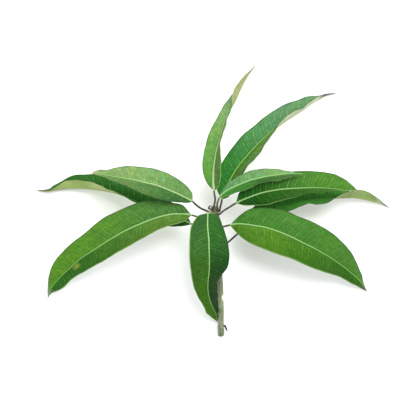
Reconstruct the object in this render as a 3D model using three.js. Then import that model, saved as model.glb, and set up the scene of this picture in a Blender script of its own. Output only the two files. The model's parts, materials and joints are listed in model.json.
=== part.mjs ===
// Cut mango shoot lying on a table: one twig with ten leaves, a terminal bud
// and the stump of a fallen leaf stalk. Millimetres, +Z up. The twig runs along
// Y with its cut end at the -Y side; the leaves spread round the twig's tip.
import * as THREE from 'three';

// ---- driving dimensions (mm) ----
const BLADE_THICKNESS = 0.9;      // leaf blade, at the middle of each half
const MARGIN_THICKNESS = 0.55;    // leaf blade, at the rim
const BLADE_BULGE = 0.10;         // crown of each half, as a share of its width
const MIDRIB_DEPTH_BASE = 1.5;    // midrib below the blade's mid surface, at the base
const MIDRIB_DEPTH_TIP = 0.55;
const MIDRIB_RISE_BASE = 0.95;    // midrib above the blade's mid surface, at the base
const MIDRIB_RISE_TIP = 0.5;
const STALK_RADIUS = 1.2;         // leaf stalk
const STALK_FOOT_RADIUS = 1.65;   // swollen foot of the stalk at the twig
const STALK_FOOT_LENGTH = 4.5;
const TIP_HALF_WIDTH = 0.45;
const NODE_RING_RADIUS = 0.35;    // old bud-scale ring near the cut end
const NODE_RING_Y = -141.5;
const LEAF_SCAR = { y: -105.1, angle: 54, rise: 0.5, along: 3.7, across: 34 };
const COLUMNS = [-1, -0.75, -0.4, -0.1, 0, 0.1, 0.4, 0.75, 1];
const STATIONS = [0, 0.011, 0.03, 0.055, 0.085, 0.13, 0.19, 0.26, 0.33, 0.40, 0.47, 0.54,
  0.61, 0.67, 0.73, 0.79, 0.84, 0.885, 0.925, 0.96, 0.985, 1];
const STALK_STATIONS = 6;

// ---- twig axis, cut end to tip: x, y, z, radius ----
const STEM_AXIS = [
  [13.5, -152.9, 3.9, 3.84],
  [13.1, -137.2, 8.3, 3.67],
  [13.3, -121, 12.9, 3.53],
  [13, -104.9, 17.3, 3.47],
  [12.3, -90.2, 21.4, 3.55],
  [11.3, -76.7, 24.9, 3.62],
  [10.2, -59.7, 29.3, 3.79],
  [8.8, -42.9, 33.5, 3.99],
  [7.4, -26.1, 37.6, 4.15],
  [5.8, -9.5, 41.6, 4.28],
  [5.1, -2.4, 43.3, 4.3],
  [4.5, 3.8, 44.8, 3.64],
];
const LEAVES = {
  leaf_top_left: {
    petiole: [[3.79, 1.79, 48.5], [3.5, 1.4, 50.02], [5.4, 7.6, 51.5], [6, 12.9, 52.5], [5.2, 18.2, 53]],
    blade: [
      [0, 4.6, 23, 53, 3.9, 23.2, 52.9, 5.4, 22.3, 53],
      [0.022, 4.3, 26.4, 54.1, 0.1, 26.9, 52.8, 9.6, 26.4, 54.1],
      [0.055, 4, 31.6, 55.5, -3.7, 32.3, 53.9, 11.4, 32.3, 58.1],
      [0.1, 4.1, 38.6, 57, -7.2, 40.1, 55.9, 12.9, 39.1, 62.7],
      [0.16, 4.7, 48, 58.3, -8.9, 50.3, 56.9, 13.1, 47.6, 68.9],
      [0.23, 6.3, 58.9, 59, -7.9, 62.2, 55.9, 12.6, 58, 73.1],
      [0.31, 8.5, 71.3, 58.7, -5.5, 74.9, 54.6, 11.9, 69.6, 75.2],
      [0.39, 12.1, 83.5, 57.3, -2, 87.7, 52.9, 13.4, 81.8, 74.6],
      [0.47, 15.2, 95.9, 54.4, 3.7, 100, 49.5, 16.9, 93.9, 71.7],
      [0.55, 19.1, 108.3, 50, 9.9, 112.3, 44.7, 20.7, 106.1, 66.6],
      [0.63, 24.9, 120.2, 43.8, 16.6, 124.1, 38.4, 25.1, 118.2, 59.4],
      [0.7, 30.5, 130.6, 37, 23.5, 134.7, 31.8, 25.8, 130.9, 50.3],
      [0.77, 35.3, 141.7, 29.2, 30.6, 143.9, 24.1, 28.7, 142.8, 39.3],
      [0.83, 39.8, 151.3, 21.7, 37.4, 152.5, 17.2, 34.1, 152.8, 29.9],
      [0.885, 44.5, 159.9, 14.5, 43.5, 160.4, 10.9, 40.6, 160.6, 21.3],
      [0.935, 49.2, 167.5, 8.1, 48.7, 167.1, 5.6, 46.7, 167.3, 12.8],
      [0.972, 52.9, 173.1, 3.7, 52.7, 172.6, 2.2, 51.6, 172.8, 6.2],
      [1, 55.8, 177.2, 0.6, 55.8, 177.2, 0.6, 55.8, 177.2, 0.6],
    ],
  },
  leaf_top_right: {
    petiole: [[9.55, -1.5, 42.57], [11.11, -1.28, 42.3], [11.8, 2.4, 45.3], [12.9, 6.5, 45.8], [13.7, 10, 46.3]],
    blade: [
      [0, 14.1, 13, 46.5, 13.4, 13.4, 46.4, 14.9, 12.5, 46.5],
      [0.022, 15.6, 16.9, 46.6, 9.9, 19.7, 46, 20.8, 14.8, 47.5],
      [0.055, 18, 22.7, 46.7, 7.7, 27.9, 45.7, 25.2, 20.6, 49.9],
      [0.1, 21.4, 30.6, 46.8, 8.3, 38.4, 45.6, 29.9, 27.5, 52.8],
      [0.16, 26.9, 40.6, 47, 11.7, 50.8, 45.6, 34.9, 36.5, 57.5],
      [0.23, 34.1, 51.9, 47, 19.1, 63.7, 45.5, 41.3, 46.9, 61.4],
      [0.31, 43.9, 63.7, 46.5, 28.8, 76.8, 44.9, 50.1, 57.4, 62.7],
      [0.39, 54.2, 75.1, 45.2, 39.4, 89.5, 43.6, 59.4, 68.6, 62.5],
      [0.47, 65.3, 85.8, 43, 52.8, 100.3, 36.4, 67.7, 81.2, 61.5],
      [0.55, 77, 96.1, 40, 65.4, 111.3, 34.8, 76.3, 94.1, 58.5],
      [0.63, 89.5, 105.7, 36.2, 78.7, 120.2, 32.2, 86, 106.1, 53.4],
      [0.7, 101.2, 113.4, 32, 91.6, 127.3, 30.7, 97.1, 116, 47.2],
      [0.77, 112.9, 121.3, 26.8, 105.2, 132.3, 22.3, 110.5, 120.6, 40.6],
      [0.83, 122.9, 128.7, 20.9, 118, 137.1, 15.6, 119.8, 129.6, 32.2],
      [0.885, 132.9, 134.7, 14.4, 130.4, 139.2, 9.2, 130.1, 136.2, 22.9],
      [0.935, 142.5, 139.5, 8.1, 140.9, 141.5, 4.5, 140.3, 139.7, 14],
      [0.972, 149.9, 142, 3.7, 149.1, 142.7, 1.7, 148.6, 141.9, 6.9],
      [1, 155.8, 143.3, 0.6, 155.8, 143.3, 0.6, 155.8, 143.3, 0.6],
    ],
  },
  leaf_right_small: {
    petiole: [[7.95, -0.01, 47.3], [9.04, -0.18, 48.45], [8.4, 6.8, 52.5], [9.8, 11.4, 55.5]],
    blade: [
      [0, 11.1, 14.9, 58, 10.5, 15.5, 57.9, 11.7, 14.2, 58],
      [0.022, 12.6, 16.7, 59.3, 11.7, 18.4, 57.7, 15, 14.7, 58.1],
      [0.055, 15, 19.1, 61.2, 13.3, 22.3, 58.7, 18.5, 15.7, 59.1],
      [0.1, 18.6, 22, 63.7, 15.9, 27.2, 60.5, 22.6, 17.4, 60.2],
      [0.16, 24, 24.9, 67, 21, 31.8, 63, 27.8, 19.2, 61.5],
      [0.23, 30.5, 27.9, 70.4, 27.3, 36.2, 65.8, 34.4, 21, 63],
      [0.31, 38, 31.1, 73.9, 34.4, 40.6, 68.8, 41.6, 23.2, 64.6],
      [0.39, 45.6, 34, 76.7, 42.6, 43.9, 71.2, 48.4, 26.8, 66.4],
      [0.47, 53.5, 36, 78.7, 51.2, 46, 73, 55.5, 29.9, 68],
      [0.55, 61.4, 37.8, 79.8, 59.8, 47.3, 74, 63.1, 31.8, 69.6],
      [0.63, 69.5, 39.2, 79.9, 68.2, 47.9, 74.2, 70.6, 33, 70.8],
      [0.7, 76.7, 40, 79.2, 76, 47.6, 73.7, 77.8, 34.2, 71.1],
      [0.77, 83.9, 41, 77.8, 83.3, 46.1, 72.5, 84.6, 35.5, 71],
      [0.83, 90.2, 41.8, 76.1, 89.9, 44.7, 71.4, 90.7, 37, 70.5],
      [0.885, 96, 41.9, 74.1, 95.9, 43.6, 70.3, 96.1, 38.5, 69.7],
      [0.935, 101.3, 42, 72.1, 100.9, 42.7, 69.4, 100.9, 39.7, 69],
      [0.972, 105.2, 41.6, 70.4, 104.9, 41.9, 68.8, 104.9, 40.6, 68.6],
      [1, 108.2, 41.2, 69, 108.2, 41.2, 69, 108.2, 41.2, 69],
    ],
  },
  leaf_right_upper: {
    petiole: [[9.43, -5.05, 44.78], [10.86, -5.08, 45.51], [15.3, -1.4, 49.5], [21.1, 2.3, 51], [26.5, 5.7, 52.2]],
    blade: [
      [0, 31, 8.3, 53, 30.6, 8.9, 52.9, 31.7, 7.6, 53],
      [0.022, 33.8, 9.8, 53.8, 32, 14.5, 52.1, 36.1, 6.3, 52],
      [0.055, 38, 11.8, 55, 34.6, 20.6, 53, 41.6, 5.3, 52],
      [0.1, 44, 14.2, 56.7, 40.2, 26.4, 54.5, 48.5, 5.1, 52],
      [0.16, 51.9, 17.3, 59, 47.9, 32.2, 56.2, 56.8, 5.3, 52.2],
      [0.23, 61.4, 20.3, 61.3, 57.7, 37.6, 58.3, 66, 6.3, 52.5],
      [0.31, 72.5, 22.5, 63.2, 69, 42, 61.6, 75.9, 8.6, 52.3],
      [0.39, 83.8, 24.2, 64, 81.5, 44.2, 61.1, 86.4, 11.5, 51.4],
      [0.47, 95.2, 25.1, 63.8, 94.1, 44.9, 60.1, 97.1, 14.6, 49.9],
      [0.55, 106.8, 25.6, 62.7, 106.2, 45.4, 60, 108.1, 18.1, 48],
      [0.63, 118.4, 26, 60.6, 117.9, 45.5, 59.1, 119.2, 20.2, 46.5],
      [0.7, 128.7, 25.9, 58, 129.3, 44.8, 56.5, 129.8, 20.8, 44.9],
      [0.77, 139.1, 25.5, 54.6, 140.1, 43.3, 53.2, 139.6, 22, 42.8],
      [0.83, 148.1, 24.6, 51.2, 149.6, 40.8, 49.9, 148.8, 22.6, 41],
      [0.885, 156.4, 23.5, 47.9, 157.6, 37.1, 46.8, 157, 22.8, 39.6],
      [0.935, 164.1, 23.3, 44.8, 164, 32.9, 44.1, 163.9, 23, 39],
      [0.972, 169.7, 23.5, 42.6, 169.3, 28.4, 42.2, 169.6, 23.3, 39.2],
      [1, 174, 23.9, 41, 174, 23.9, 41, 174, 23.9, 41],
    ],
  },
  leaf_right_under: {
    petiole: [[13.18, -44.24, 32.73], [14.77, -44.08, 32.6], [18.5, -40.8, 31], [23.4, -37, 30.5], [28.9, -32.1, 29.6]],
    blade: [
      [0, 34.1, -27.7, 29, 33.5, -26.9, 28.9, 34.9, -28.4, 29],
      [0.022, 37.2, -24.8, 28.9, 35.6, -21.7, 27.8, 40.9, -27.9, 30.1],
      [0.055, 42, -20.6, 28.8, 38.8, -15, 27.1, 47.9, -26.6, 30.4],
      [0.1, 48.7, -15.1, 28.5, 43.8, -6.3, 26.6, 56, -23.2, 31],
      [0.16, 58.3, -8.5, 27.9, 52, 3.5, 26, 65.2, -18.2, 32.8],
      [0.23, 70.2, -2, 27, 64.3, 12.5, 25, 75.5, -11.7, 35.5],
      [0.31, 84.6, 4, 25.7, 79.4, 19.7, 23.4, 87.3, -5, 38.2],
      [0.39, 99.6, 8.4, 24.2, 95.5, 25.9, 22.2, 100.2, 1.5, 39.3],
      [0.47, 115, 11.3, 22.4, 112.1, 30.2, 21.4, 114.2, 6.7, 39.1],
      [0.55, 130.7, 13.1, 20, 128.9, 31.9, 19.1, 129.7, 6.8, 36.7],
      [0.63, 146.6, 14.1, 17, 145.3, 31, 15.3, 144.7, 11, 34.1],
      [0.7, 160.6, 14.9, 14, 160.4, 25.6, 10.6, 158.3, 19.2, 29.3],
      [0.77, 174.8, 14.8, 10.8, 174.5, 20.9, 7.3, 173.2, 23.9, 21.3],
      [0.83, 186.8, 12.9, 7.9, 187.5, 18.1, 5, 187.3, 23.3, 13.7],
      [0.885, 197.7, 10.5, 5.4, 198.4, 14, 3, 198.3, 18, 11.2],
      [0.935, 207.6, 7.9, 3.2, 207.3, 10, 1.5, 206.9, 12.2, 8.4],
      [0.972, 214.6, 5.3, 1.7, 214.3, 6.2, 0.6, 213.5, 6.6, 5.5],
      [1, 219.4, 2.2, 0.6, 219.4, 2.2, 0.6, 219.4, 2.2, 0.6],
    ],
  },
  leaf_left_small: {
    petiole: [[0.53, -2.07, 44.45], [-1.02, -2.3, 44.77], [-4.7, -0.7, 47], [-10.6, 1.9, 49.5], [-16.2, 5.9, 53]],
    blade: [
      [0, -20.8, 10.6, 56, -21.3, 9.4, 56, -20.4, 11.7, 55.9],
      [0.022, -23.2, 11.8, 57.8, -25.3, 8.5, 55.6, -20.5, 17.3, 56],
      [0.055, -26.8, 13.6, 60.5, -30.1, 8.5, 56.5, -22.7, 22.7, 58.4],
      [0.1, -31.7, 16, 64.1, -36.2, 8.7, 58, -26.9, 27.6, 61.3],
      [0.16, -38.1, 19.2, 68.7, -43.5, 9.3, 60, -32.8, 32.6, 64.9],
      [0.23, -45.8, 22.4, 73.6, -51.7, 10.5, 63.1, -40.2, 37.7, 69.3],
      [0.31, -54.6, 26, 78.2, -60.1, 12.4, 67.6, -48.8, 42.6, 73.5],
      [0.39, -63.6, 29, 81.4, -68.5, 15, 70.4, -58.8, 46, 76.1],
      [0.47, -72.9, 31.2, 83, -76.9, 18.4, 70.9, -69, 48.4, 77.5],
      [0.55, -82.3, 33.4, 83, -85.6, 22.2, 70.3, -79.2, 49.8, 77.2],
      [0.63, -91.9, 35.4, 81.4, -94.1, 26.2, 68.6, -89.1, 50.5, 75.6],
      [0.7, -100.4, 36.7, 78.9, -102.6, 29.8, 66.5, -98.6, 50.3, 73.1],
      [0.77, -109.1, 38.2, 75.6, -110.5, 33.1, 64.3, -107.4, 49.5, 70],
      [0.83, -116.6, 39.6, 72.3, -117.7, 36.1, 62.4, -115.6, 47.8, 66.8],
      [0.885, -123.5, 40.6, 69.1, -124.3, 38.3, 60.9, -122.7, 46.5, 64.3],
      [0.935, -129.9, 41.3, 66, -130, 40.2, 60, -129, 46.6, 62.8],
      [0.972, -134.6, 42.1, 63.7, -134.6, 41.7, 60, -134.2, 45.3, 61.7],
      [1, -138.2, 43, 62, -138.2, 43, 62, -138.2, 43, 62],
    ],
  },
  leaf_left_under: {
    petiole: [[3.03, -26.92, 36.73], [1.46, -26.99, 36.46], [-0.6, -25, 35.5], [-7.7, -22.1, 34.6], [-15.5, -19, 33.8]],
    blade: [
      [0, -22.6, -16.4, 33, -23.2, -17.4, 33, -22.6, -15.5, 33],
      [0.022, -26.5, -14.6, 32.9, -29.1, -18.7, 33.8, -25.4, -9.9, 31.9],
      [0.055, -32.3, -12.1, 32.6, -36.4, -19.4, 33.9, -29.8, -3.9, 31.4],
      [0.1, -40.4, -8.8, 31.9, -45.9, -19.7, 32.6, -37.1, 2.7, 30.7],
      [0.16, -51.2, -4.5, 30.8, -57, -17, 34.1, -46.6, 10.1, 30],
      [0.23, -64, 0.2, 29, -68.3, -9.4, 38.8, -58, 17.7, 28.1],
      [0.31, -78.6, 5.8, 26.4, -79.3, 1.6, 42, -71, 24.7, 25.4],
      [0.39, -93.1, 12.1, 23.5, -91.7, 11.1, 42.1, -85.3, 30.8, 22.5],
      [0.47, -107.5, 18.5, 20.3, -106.2, 18.1, 39.2, -101.3, 36.4, 19.3],
      [0.55, -122.9, 22.6, 17, -120.7, 24.9, 35.2, -118.7, 40.7, 16.1],
      [0.63, -138.7, 24.9, 13.8, -135.5, 31, 29.8, -135.7, 43.6, 12.9],
      [0.7, -152.7, 26.3, 11, -150.4, 35.1, 24.1, -151.7, 43.2, 10.2],
      [0.77, -166.8, 26.6, 8.1, -165.1, 36.4, 18, -166.7, 42, 7.4],
      [0.83, -178.9, 26, 5.8, -177.9, 33.4, 15.1, -179.6, 36.2, 3.5],
      [0.885, -189.9, 24.4, 3.8, -188.1, 27.2, 12.9, -190.4, 30.2, 1.3],
      [0.935, -199.9, 22.9, 2.2, -197.5, 23.6, 8.8, -198.8, 25.1, 0.5],
      [0.972, -207.3, 23.4, 1.2, -205.8, 23.6, 5.1, -206.6, 24.3, 0.5],
      [1, -212.9, 23.8, 0.6, -212.9, 23.8, 0.6, -212.9, 23.8, 0.6],
    ],
  },
  leaf_left_lower: {
    petiole: [[1.9, -14.35, 41.99], [0.4, -14.6, 42.47], [-1.8, -13, 44.2], [-8.3, -10.6, 45.6], [-15.3, -7.9, 47]],
    blade: [
      [0, -22.1, -5.8, 48, -22, -6.4, 48, -22.4, -5.3, 47.9],
      [0.022, -26.6, -5.1, 49.1, -27.3, -11.4, 48, -27, 0.5, 47.3],
      [0.055, -33.3, -4.7, 50.8, -34.2, -14.9, 49.5, -33.8, 6.5, 49.4],
      [0.1, -42.4, -4.7, 53, -42.8, -17, 50.3, -45.2, 8.7, 51.4],
      [0.16, -54.3, -6.7, 55.8, -52.7, -20.3, 51.6, -59.4, 11.1, 53.6],
      [0.23, -67.8, -10.8, 58.2, -64.4, -25.2, 52.7, -75.9, 10.9, 55.4],
      [0.31, -82.9, -16.8, 59.1, -76.8, -32.3, 53.1, -92.6, 5.6, 56.2],
      [0.39, -97.7, -23.5, 57.9, -90, -39.6, 51.5, -109.2, -1.8, 55],
      [0.47, -112.2, -31.5, 55.1, -103.8, -47.2, 48.2, -125.3, -9.4, 52],
      [0.55, -126.4, -40.3, 50.7, -117.6, -55.4, 43.8, -139.1, -20.3, 47.9],
      [0.63, -140.9, -49.5, 44.4, -131.2, -63.4, 38.1, -152.9, -31, 41.8],
      [0.7, -153.6, -57.7, 38, -144.3, -70.6, 32.3, -166.5, -41.2, 35.5],
      [0.77, -165.3, -67.7, 31.2, -156.6, -77.4, 25.3, -178.4, -52.2, 28.8],
      [0.83, -175.3, -76.5, 24.9, -167.4, -84.5, 19.9, -188, -64.1, 22.8],
      [0.885, -184.1, -85.2, 18.8, -175.3, -92.6, 17.1, -193.9, -76.9, 17.3],
      [0.935, -191.3, -94, 13.4, -184.5, -97.9, 11.3, -196.3, -89.6, 9.9],
      [0.972, -195.1, -101.3, 9.6, -192.9, -101.5, 7.2, -197.2, -99.5, 7],
      [1, -197.3, -107.2, 7, -197.3, -107.2, 7, -197.3, -107.2, 7],
    ],
  },
  leaf_right_lower: {
    petiole: [[11.1, -20.08, 40.41], [12.63, -20.05, 40.89], [14.4, -19.9, 42.8], [19.1, -18.9, 44.4]],
    blade: [
      [0, 24.1, -17.6, 45.5, 24.3, -16.9, 45.4, 23.9, -18.4, 45.4],
      [0.022, 28.1, -16.7, 46.5, 28.9, -12.2, 44.5, 29.1, -24.4, 46.1],
      [0.055, 34.2, -16.2, 48.1, 35.6, -6.2, 46.1, 34.6, -30, 47.3],
      [0.1, 42.4, -16.8, 50.1, 45.2, 0.4, 48.1, 41.2, -35.6, 49],
      [0.16, 53.4, -18.4, 52.6, 58, 2.9, 50, 50, -40.5, 51.3],
      [0.23, 66, -20.6, 54.8, 72.9, 2.2, 52, 60.5, -45, 53.3],
      [0.31, 80.1, -25.2, 56.1, 89, -0.8, 53, 71.8, -49.4, 54.5],
      [0.39, 93.8, -30.8, 55.6, 104.1, -7.6, 52.5, 84.1, -53.7, 54.1],
      [0.47, 107.3, -37.5, 53.3, 119.4, -13.5, 50, 97.4, -58.2, 51.9],
      [0.55, 121, -44.2, 49.2, 133.8, -20.7, 46.1, 110.5, -64.2, 47.9],
      [0.63, 134.6, -51.6, 43.8, 147.4, -29.5, 40.8, 123.5, -69.8, 42.5],
      [0.7, 146.4, -58.9, 37.9, 159.2, -39.9, 35.2, 136.6, -74.2, 35],
      [0.77, 158, -66.8, 30.8, 169.1, -51.3, 28.6, 149.4, -78.4, 26.3],
      [0.83, 167.8, -74.2, 23.9, 176.8, -63.6, 20.2, 160.6, -83, 19.2],
      [0.885, 176.6, -81.5, 17.4, 182.4, -75.5, 12.4, 170.1, -88.5, 13.6],
      [0.935, 183.9, -88.9, 11.7, 186.1, -85.9, 7.4, 178.6, -92.8, 8.7],
      [0.972, 188.6, -94.9, 7.7, 189, -93.8, 5, 185.8, -96.4, 5.5],
      [1, 191.7, -99.8, 5, 191.7, -99.8, 5, 191.7, -99.8, 5],
    ],
  },
  leaf_over_stem: {
    petiole: [[3.91, -4.93, 47.22], [3.45, -5.33, 48.7], [1.4, -2.8, 52.5], [-0.8, -2.7, 54.8]],
    blade: [
      [0, -2.5, -3.9, 56, -1.6, -3.9, 55.9, -3.3, -3.9, 55.9],
      [0.022, -2.6, -6.7, 58.4, 7.7, -5.5, 57.4, -11.6, -5.6, 57.1],
      [0.055, -2.7, -10.9, 61.8, 11.8, -11.2, 60.4, -17.6, -10.8, 60.4],
      [0.1, -2.8, -16.6, 66.2, 14.2, -17, 64.5, -21.6, -17.7, 64.3],
      [0.16, -2.4, -24.2, 71.3, 16.7, -23.7, 68.7, -23.2, -25.9, 69.2],
      [0.23, -1.4, -32.9, 76, 19.3, -32.4, 72, -23.8, -34.7, 73.7],
      [0.31, -1.1, -42.9, 79.3, 21.3, -42.3, 76.4, -24.1, -43.8, 77],
      [0.39, -0.8, -53, 80.1, 22.3, -53, 77.8, -23.9, -53.4, 77.8],
      [0.47, -0.7, -63.2, 78, 20.7, -64.5, 71.9, -23.1, -63.1, 73.6],
      [0.55, -1.3, -73.6, 73, 14.4, -74.7, 60.9, -22.2, -73.2, 67.3],
      [0.63, -2.4, -84.3, 65.3, 9.6, -84.6, 48.6, -20.4, -84.1, 58.2],
      [0.7, -2.3, -93.9, 57, 8.8, -93.8, 40.8, -17.2, -95.6, 49.4],
      [0.77, -0.9, -103.5, 47.6, 8.8, -101.9, 32.8, -12.7, -106.4, 40.3],
      [0.83, 1.8, -111.7, 38.4, 8.9, -110, 25.1, -7.3, -115.1, 31.8],
      [0.885, 4.7, -119.2, 28.7, 8.9, -118.1, 17.3, -4.7, -123.3, 24.6],
      [0.935, 7.4, -126.2, 19, 8.8, -125.6, 10.4, 0.1, -128.4, 16.1],
      [0.972, 8.5, -131.7, 11.2, 8.8, -131.5, 5.9, 4.8, -132.5, 9],
      [1, 8.9, -136.1, 5, 8.8, -136.1, 5, 8.9, -136.1, 5],
    ],
  },
};
const LEAF_LOOK = {
  leaf_top_left: 0x6fa352, leaf_top_right: 0x3f8a36, leaf_right_small: 0x62a05c,
  leaf_right_upper: 0x3f8038, leaf_right_under: 0x2f6a25, leaf_left_small: 0x6fa660,
  leaf_left_under: 0x2f7030, leaf_left_lower: 0x4f8f36, leaf_right_lower: 0x4a8a33,
  leaf_over_stem: 0x37762a,
};

// ---- small vector helpers ----
const V = (a) => new THREE.Vector3(a[0], a[1], a[2]);
const lerp = (a, b, t) => a + (b - a) * t;
const clamp01 = (t) => Math.min(1, Math.max(0, t));
const smooth = (t) => { const c = clamp01(t); return c * c * (3 - 2 * c); };

// cubic through rows of numbers at increasing keys
function spline(keys, rows) {
  const n = keys.length, dim = rows[0].length;
  const slope = rows.map((row, i) => row.map((v, k) => {
    if (i === 0) return (rows[1][k] - v) / (keys[1] - keys[0]);
    if (i === n - 1) return (v - rows[n - 2][k]) / (keys[n - 1] - keys[n - 2]);
    const h0 = keys[i] - keys[i - 1], h1 = keys[i + 1] - keys[i];
    const d0 = (v - rows[i - 1][k]) / h0, d1 = (rows[i + 1][k] - v) / h1;
    return (d0 * h1 + d1 * h0) / (h0 + h1);
  }));
  return (x) => {
    let i = 0;
    while (i < n - 2 && x > keys[i + 1]) i++;
    const h = keys[i + 1] - keys[i], t = (x - keys[i]) / h, t2 = t * t, t3 = t2 * t;
    const out = [];
    for (let k = 0; k < dim; k++) {
      out.push(rows[i][k] * (2 * t3 - 3 * t2 + 1) + slope[i][k] * h * (t3 - 2 * t2 + t)
        + rows[i + 1][k] * (3 * t2 - 2 * t3) + slope[i + 1][k] * h * (t3 - t2));
    }
    return out;
  };
}

// closed skin from rings of points, all with the same count
function skin(rings) {
  const pos = [], idx = [], m = rings[0].length, n = rings.length;
  for (const ring of rings) for (const p of ring) pos.push(p.x, p.y, p.z);
  for (let i = 0; i < n - 1; i++) for (let j = 0; j < m; j++) {
    const a = i * m + j, b = i * m + (j + 1) % m, c = a + m, d = b + m;
    idx.push(a, b, d, a, d, c);
  }
  const cap = (k, flip) => {
    const mid = new THREE.Vector3();
    for (const p of rings[k]) mid.add(p);
    mid.multiplyScalar(1 / m);
    const c = pos.length / 3;
    pos.push(mid.x, mid.y, mid.z);
    for (let j = 0; j < m; j++) {
      const a = k * m + j, b = k * m + (j + 1) % m;
      if (flip) idx.push(c, b, a); else idx.push(c, a, b);
    }
  };
  cap(0, true);
  cap(n - 1, false);
  const g = new THREE.BufferGeometry();
  g.setAttribute('position', new THREE.Float32BufferAttribute(pos, 3));
  g.setIndex(idx);
  let vol = 0;
  const A = new THREE.Vector3(), B = new THREE.Vector3(), C = new THREE.Vector3();
  for (let i = 0; i < idx.length; i += 3) {
    A.fromArray(pos, idx[i] * 3); B.fromArray(pos, idx[i + 1] * 3); C.fromArray(pos, idx[i + 2] * 3);
    vol += A.dot(B.cross(C)) / 6;
  }
  if (vol < 0) {
    for (let i = 0; i < idx.length; i += 3) [idx[i + 1], idx[i + 2]] = [idx[i + 2], idx[i + 1]];
    g.setIndex(idx);
  }
  g.computeVertexNormals();
  return g;
}

// ---- leaf: stalk, midrib and blade grown as one solid ----
function leaf(def) {
  const keys = def.blade.map((r) => r[0]);
  const at = spline(keys, def.blade.map((r) => r.slice(1)));
  const rows = [];          // mid-surface points per ring, plus half thicknesses
  // stalk
  const stalkPts = def.petiole.map(V);
  const first = at(0);
  stalkPts.push(V(first.slice(0, 3)));
  const curve = new THREE.CatmullRomCurve3(stalkPts, false, 'centripetal');
  const length = curve.getLength();
  const side0 = V(first.slice(6, 9)).sub(V(first.slice(3, 6))).normalize();
  const colX = COLUMNS.map((u) => Math.sin(u * Math.PI / 2));
  const colY = COLUMNS.map((u) => Math.max(0.2, Math.cos(u * Math.PI / 2)));
  const footKeys = [0, 0.35 * STALK_FOOT_LENGTH / length, STALK_FOOT_LENGTH / length];
  const ts = [...footKeys];
  for (let i = 1; i < STALK_STATIONS - 2; i++) ts.push(lerp(footKeys[2], 1, i / (STALK_STATIONS - 2)));
  for (const t of ts) {
    const c = curve.getPointAt(t), T = curve.getTangentAt(Math.min(1, Math.max(0.0, t)));
    const e = side0.clone().addScaledVector(T, -side0.dot(T)).normalize();
    const up = e.clone().cross(T).normalize();
    const foot = 1 - smooth((t * length) / STALK_FOOT_LENGTH);
    const r = lerp(STALK_RADIUS, STALK_FOOT_RADIUS, foot);
    rows.push({
      p: COLUMNS.map((u, k) => c.clone().addScaledVector(e, colX[k] * r)),
      n: COLUMNS.map(() => up), top: colY.map((y) => y * r), bot: colY.map((y) => y * r),
    });
  }
  // blade
  const S = STATIONS, eps = 0.004;
  const section = (s) => {
    const v = at(s), M = V(v.slice(0, 3));
    const v0 = at(Math.max(0, s - eps)), v1 = at(Math.min(1, s + eps));
    const T = V(v1.slice(0, 3)).sub(V(v0.slice(0, 3))).normalize();
    const halves = [V(v.slice(3, 6)), V(v.slice(6, 9))].map((E, k) => {
      let d = E.clone().sub(M);
      if (d.length() < TIP_HALF_WIDTH) {
        const q = at(Math.min(s, 0.965));
        d = V(q.slice(k ? 6 : 3, k ? 9 : 6)).sub(V(q.slice(0, 3)));
        d.addScaledVector(T, -d.dot(T)).setLength(TIP_HALF_WIDTH);
      }
      const N = k ? d.clone().cross(T) : T.clone().cross(d);
      N.normalize();
      return { d, N };
    });
    return COLUMNS.map((u) => {
      const a = Math.abs(u), h = halves[u < 0 ? 0 : 1];
      return M.clone().addScaledVector(h.d, a)
        .addScaledVector(h.N, 2 * a * (1 - a) * BLADE_BULGE * h.d.length() * smooth(s / 0.06));
    });
  };
  const grid = S.map(section);
  S.forEach((s, i) => {
    const P = grid[i];
    const before = section(Math.max(0, s - eps)), after = section(Math.min(1, s + eps));
    const N = P.map((p, j) => {
      const along = after[j].clone().sub(before[j]);
      const j0 = Math.max(0, j - 1), j1 = Math.min(P.length - 1, j + 1);
      const across = P[j1].clone().sub(P[j0]);
      return across.cross(along).normalize();
    });
    const b = smooth(s / 0.05);
    const rT = lerp(MIDRIB_RISE_BASE, MIDRIB_RISE_TIP, s), rB = lerp(MIDRIB_DEPTH_BASE, MIDRIB_DEPTH_TIP, Math.pow(s, 0.8));
    const half = (mid) => COLUMNS.map((u, k) => {
      const a = Math.abs(u);
      const blade = a === 0 ? mid : lerp(BLADE_THICKNESS, MARGIN_THICKNESS, clamp01((a - 0.4) / 0.6)) / 2;
      return lerp(colY[k] * STALK_RADIUS, blade, b);
    });
    rows.push({ p: P, n: N, top: half(rT), bot: half(rB) });
  });
  const rings = rows.map((r) => {
    const top = r.p.map((p, j) => p.clone().addScaledVector(r.n[j], r.top[j]));
    const bot = r.p.map((p, j) => p.clone().addScaledVector(r.n[j], -r.bot[j]));
    return [...top, ...bot.reverse()];
  });
  return skin(rings);
}

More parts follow.
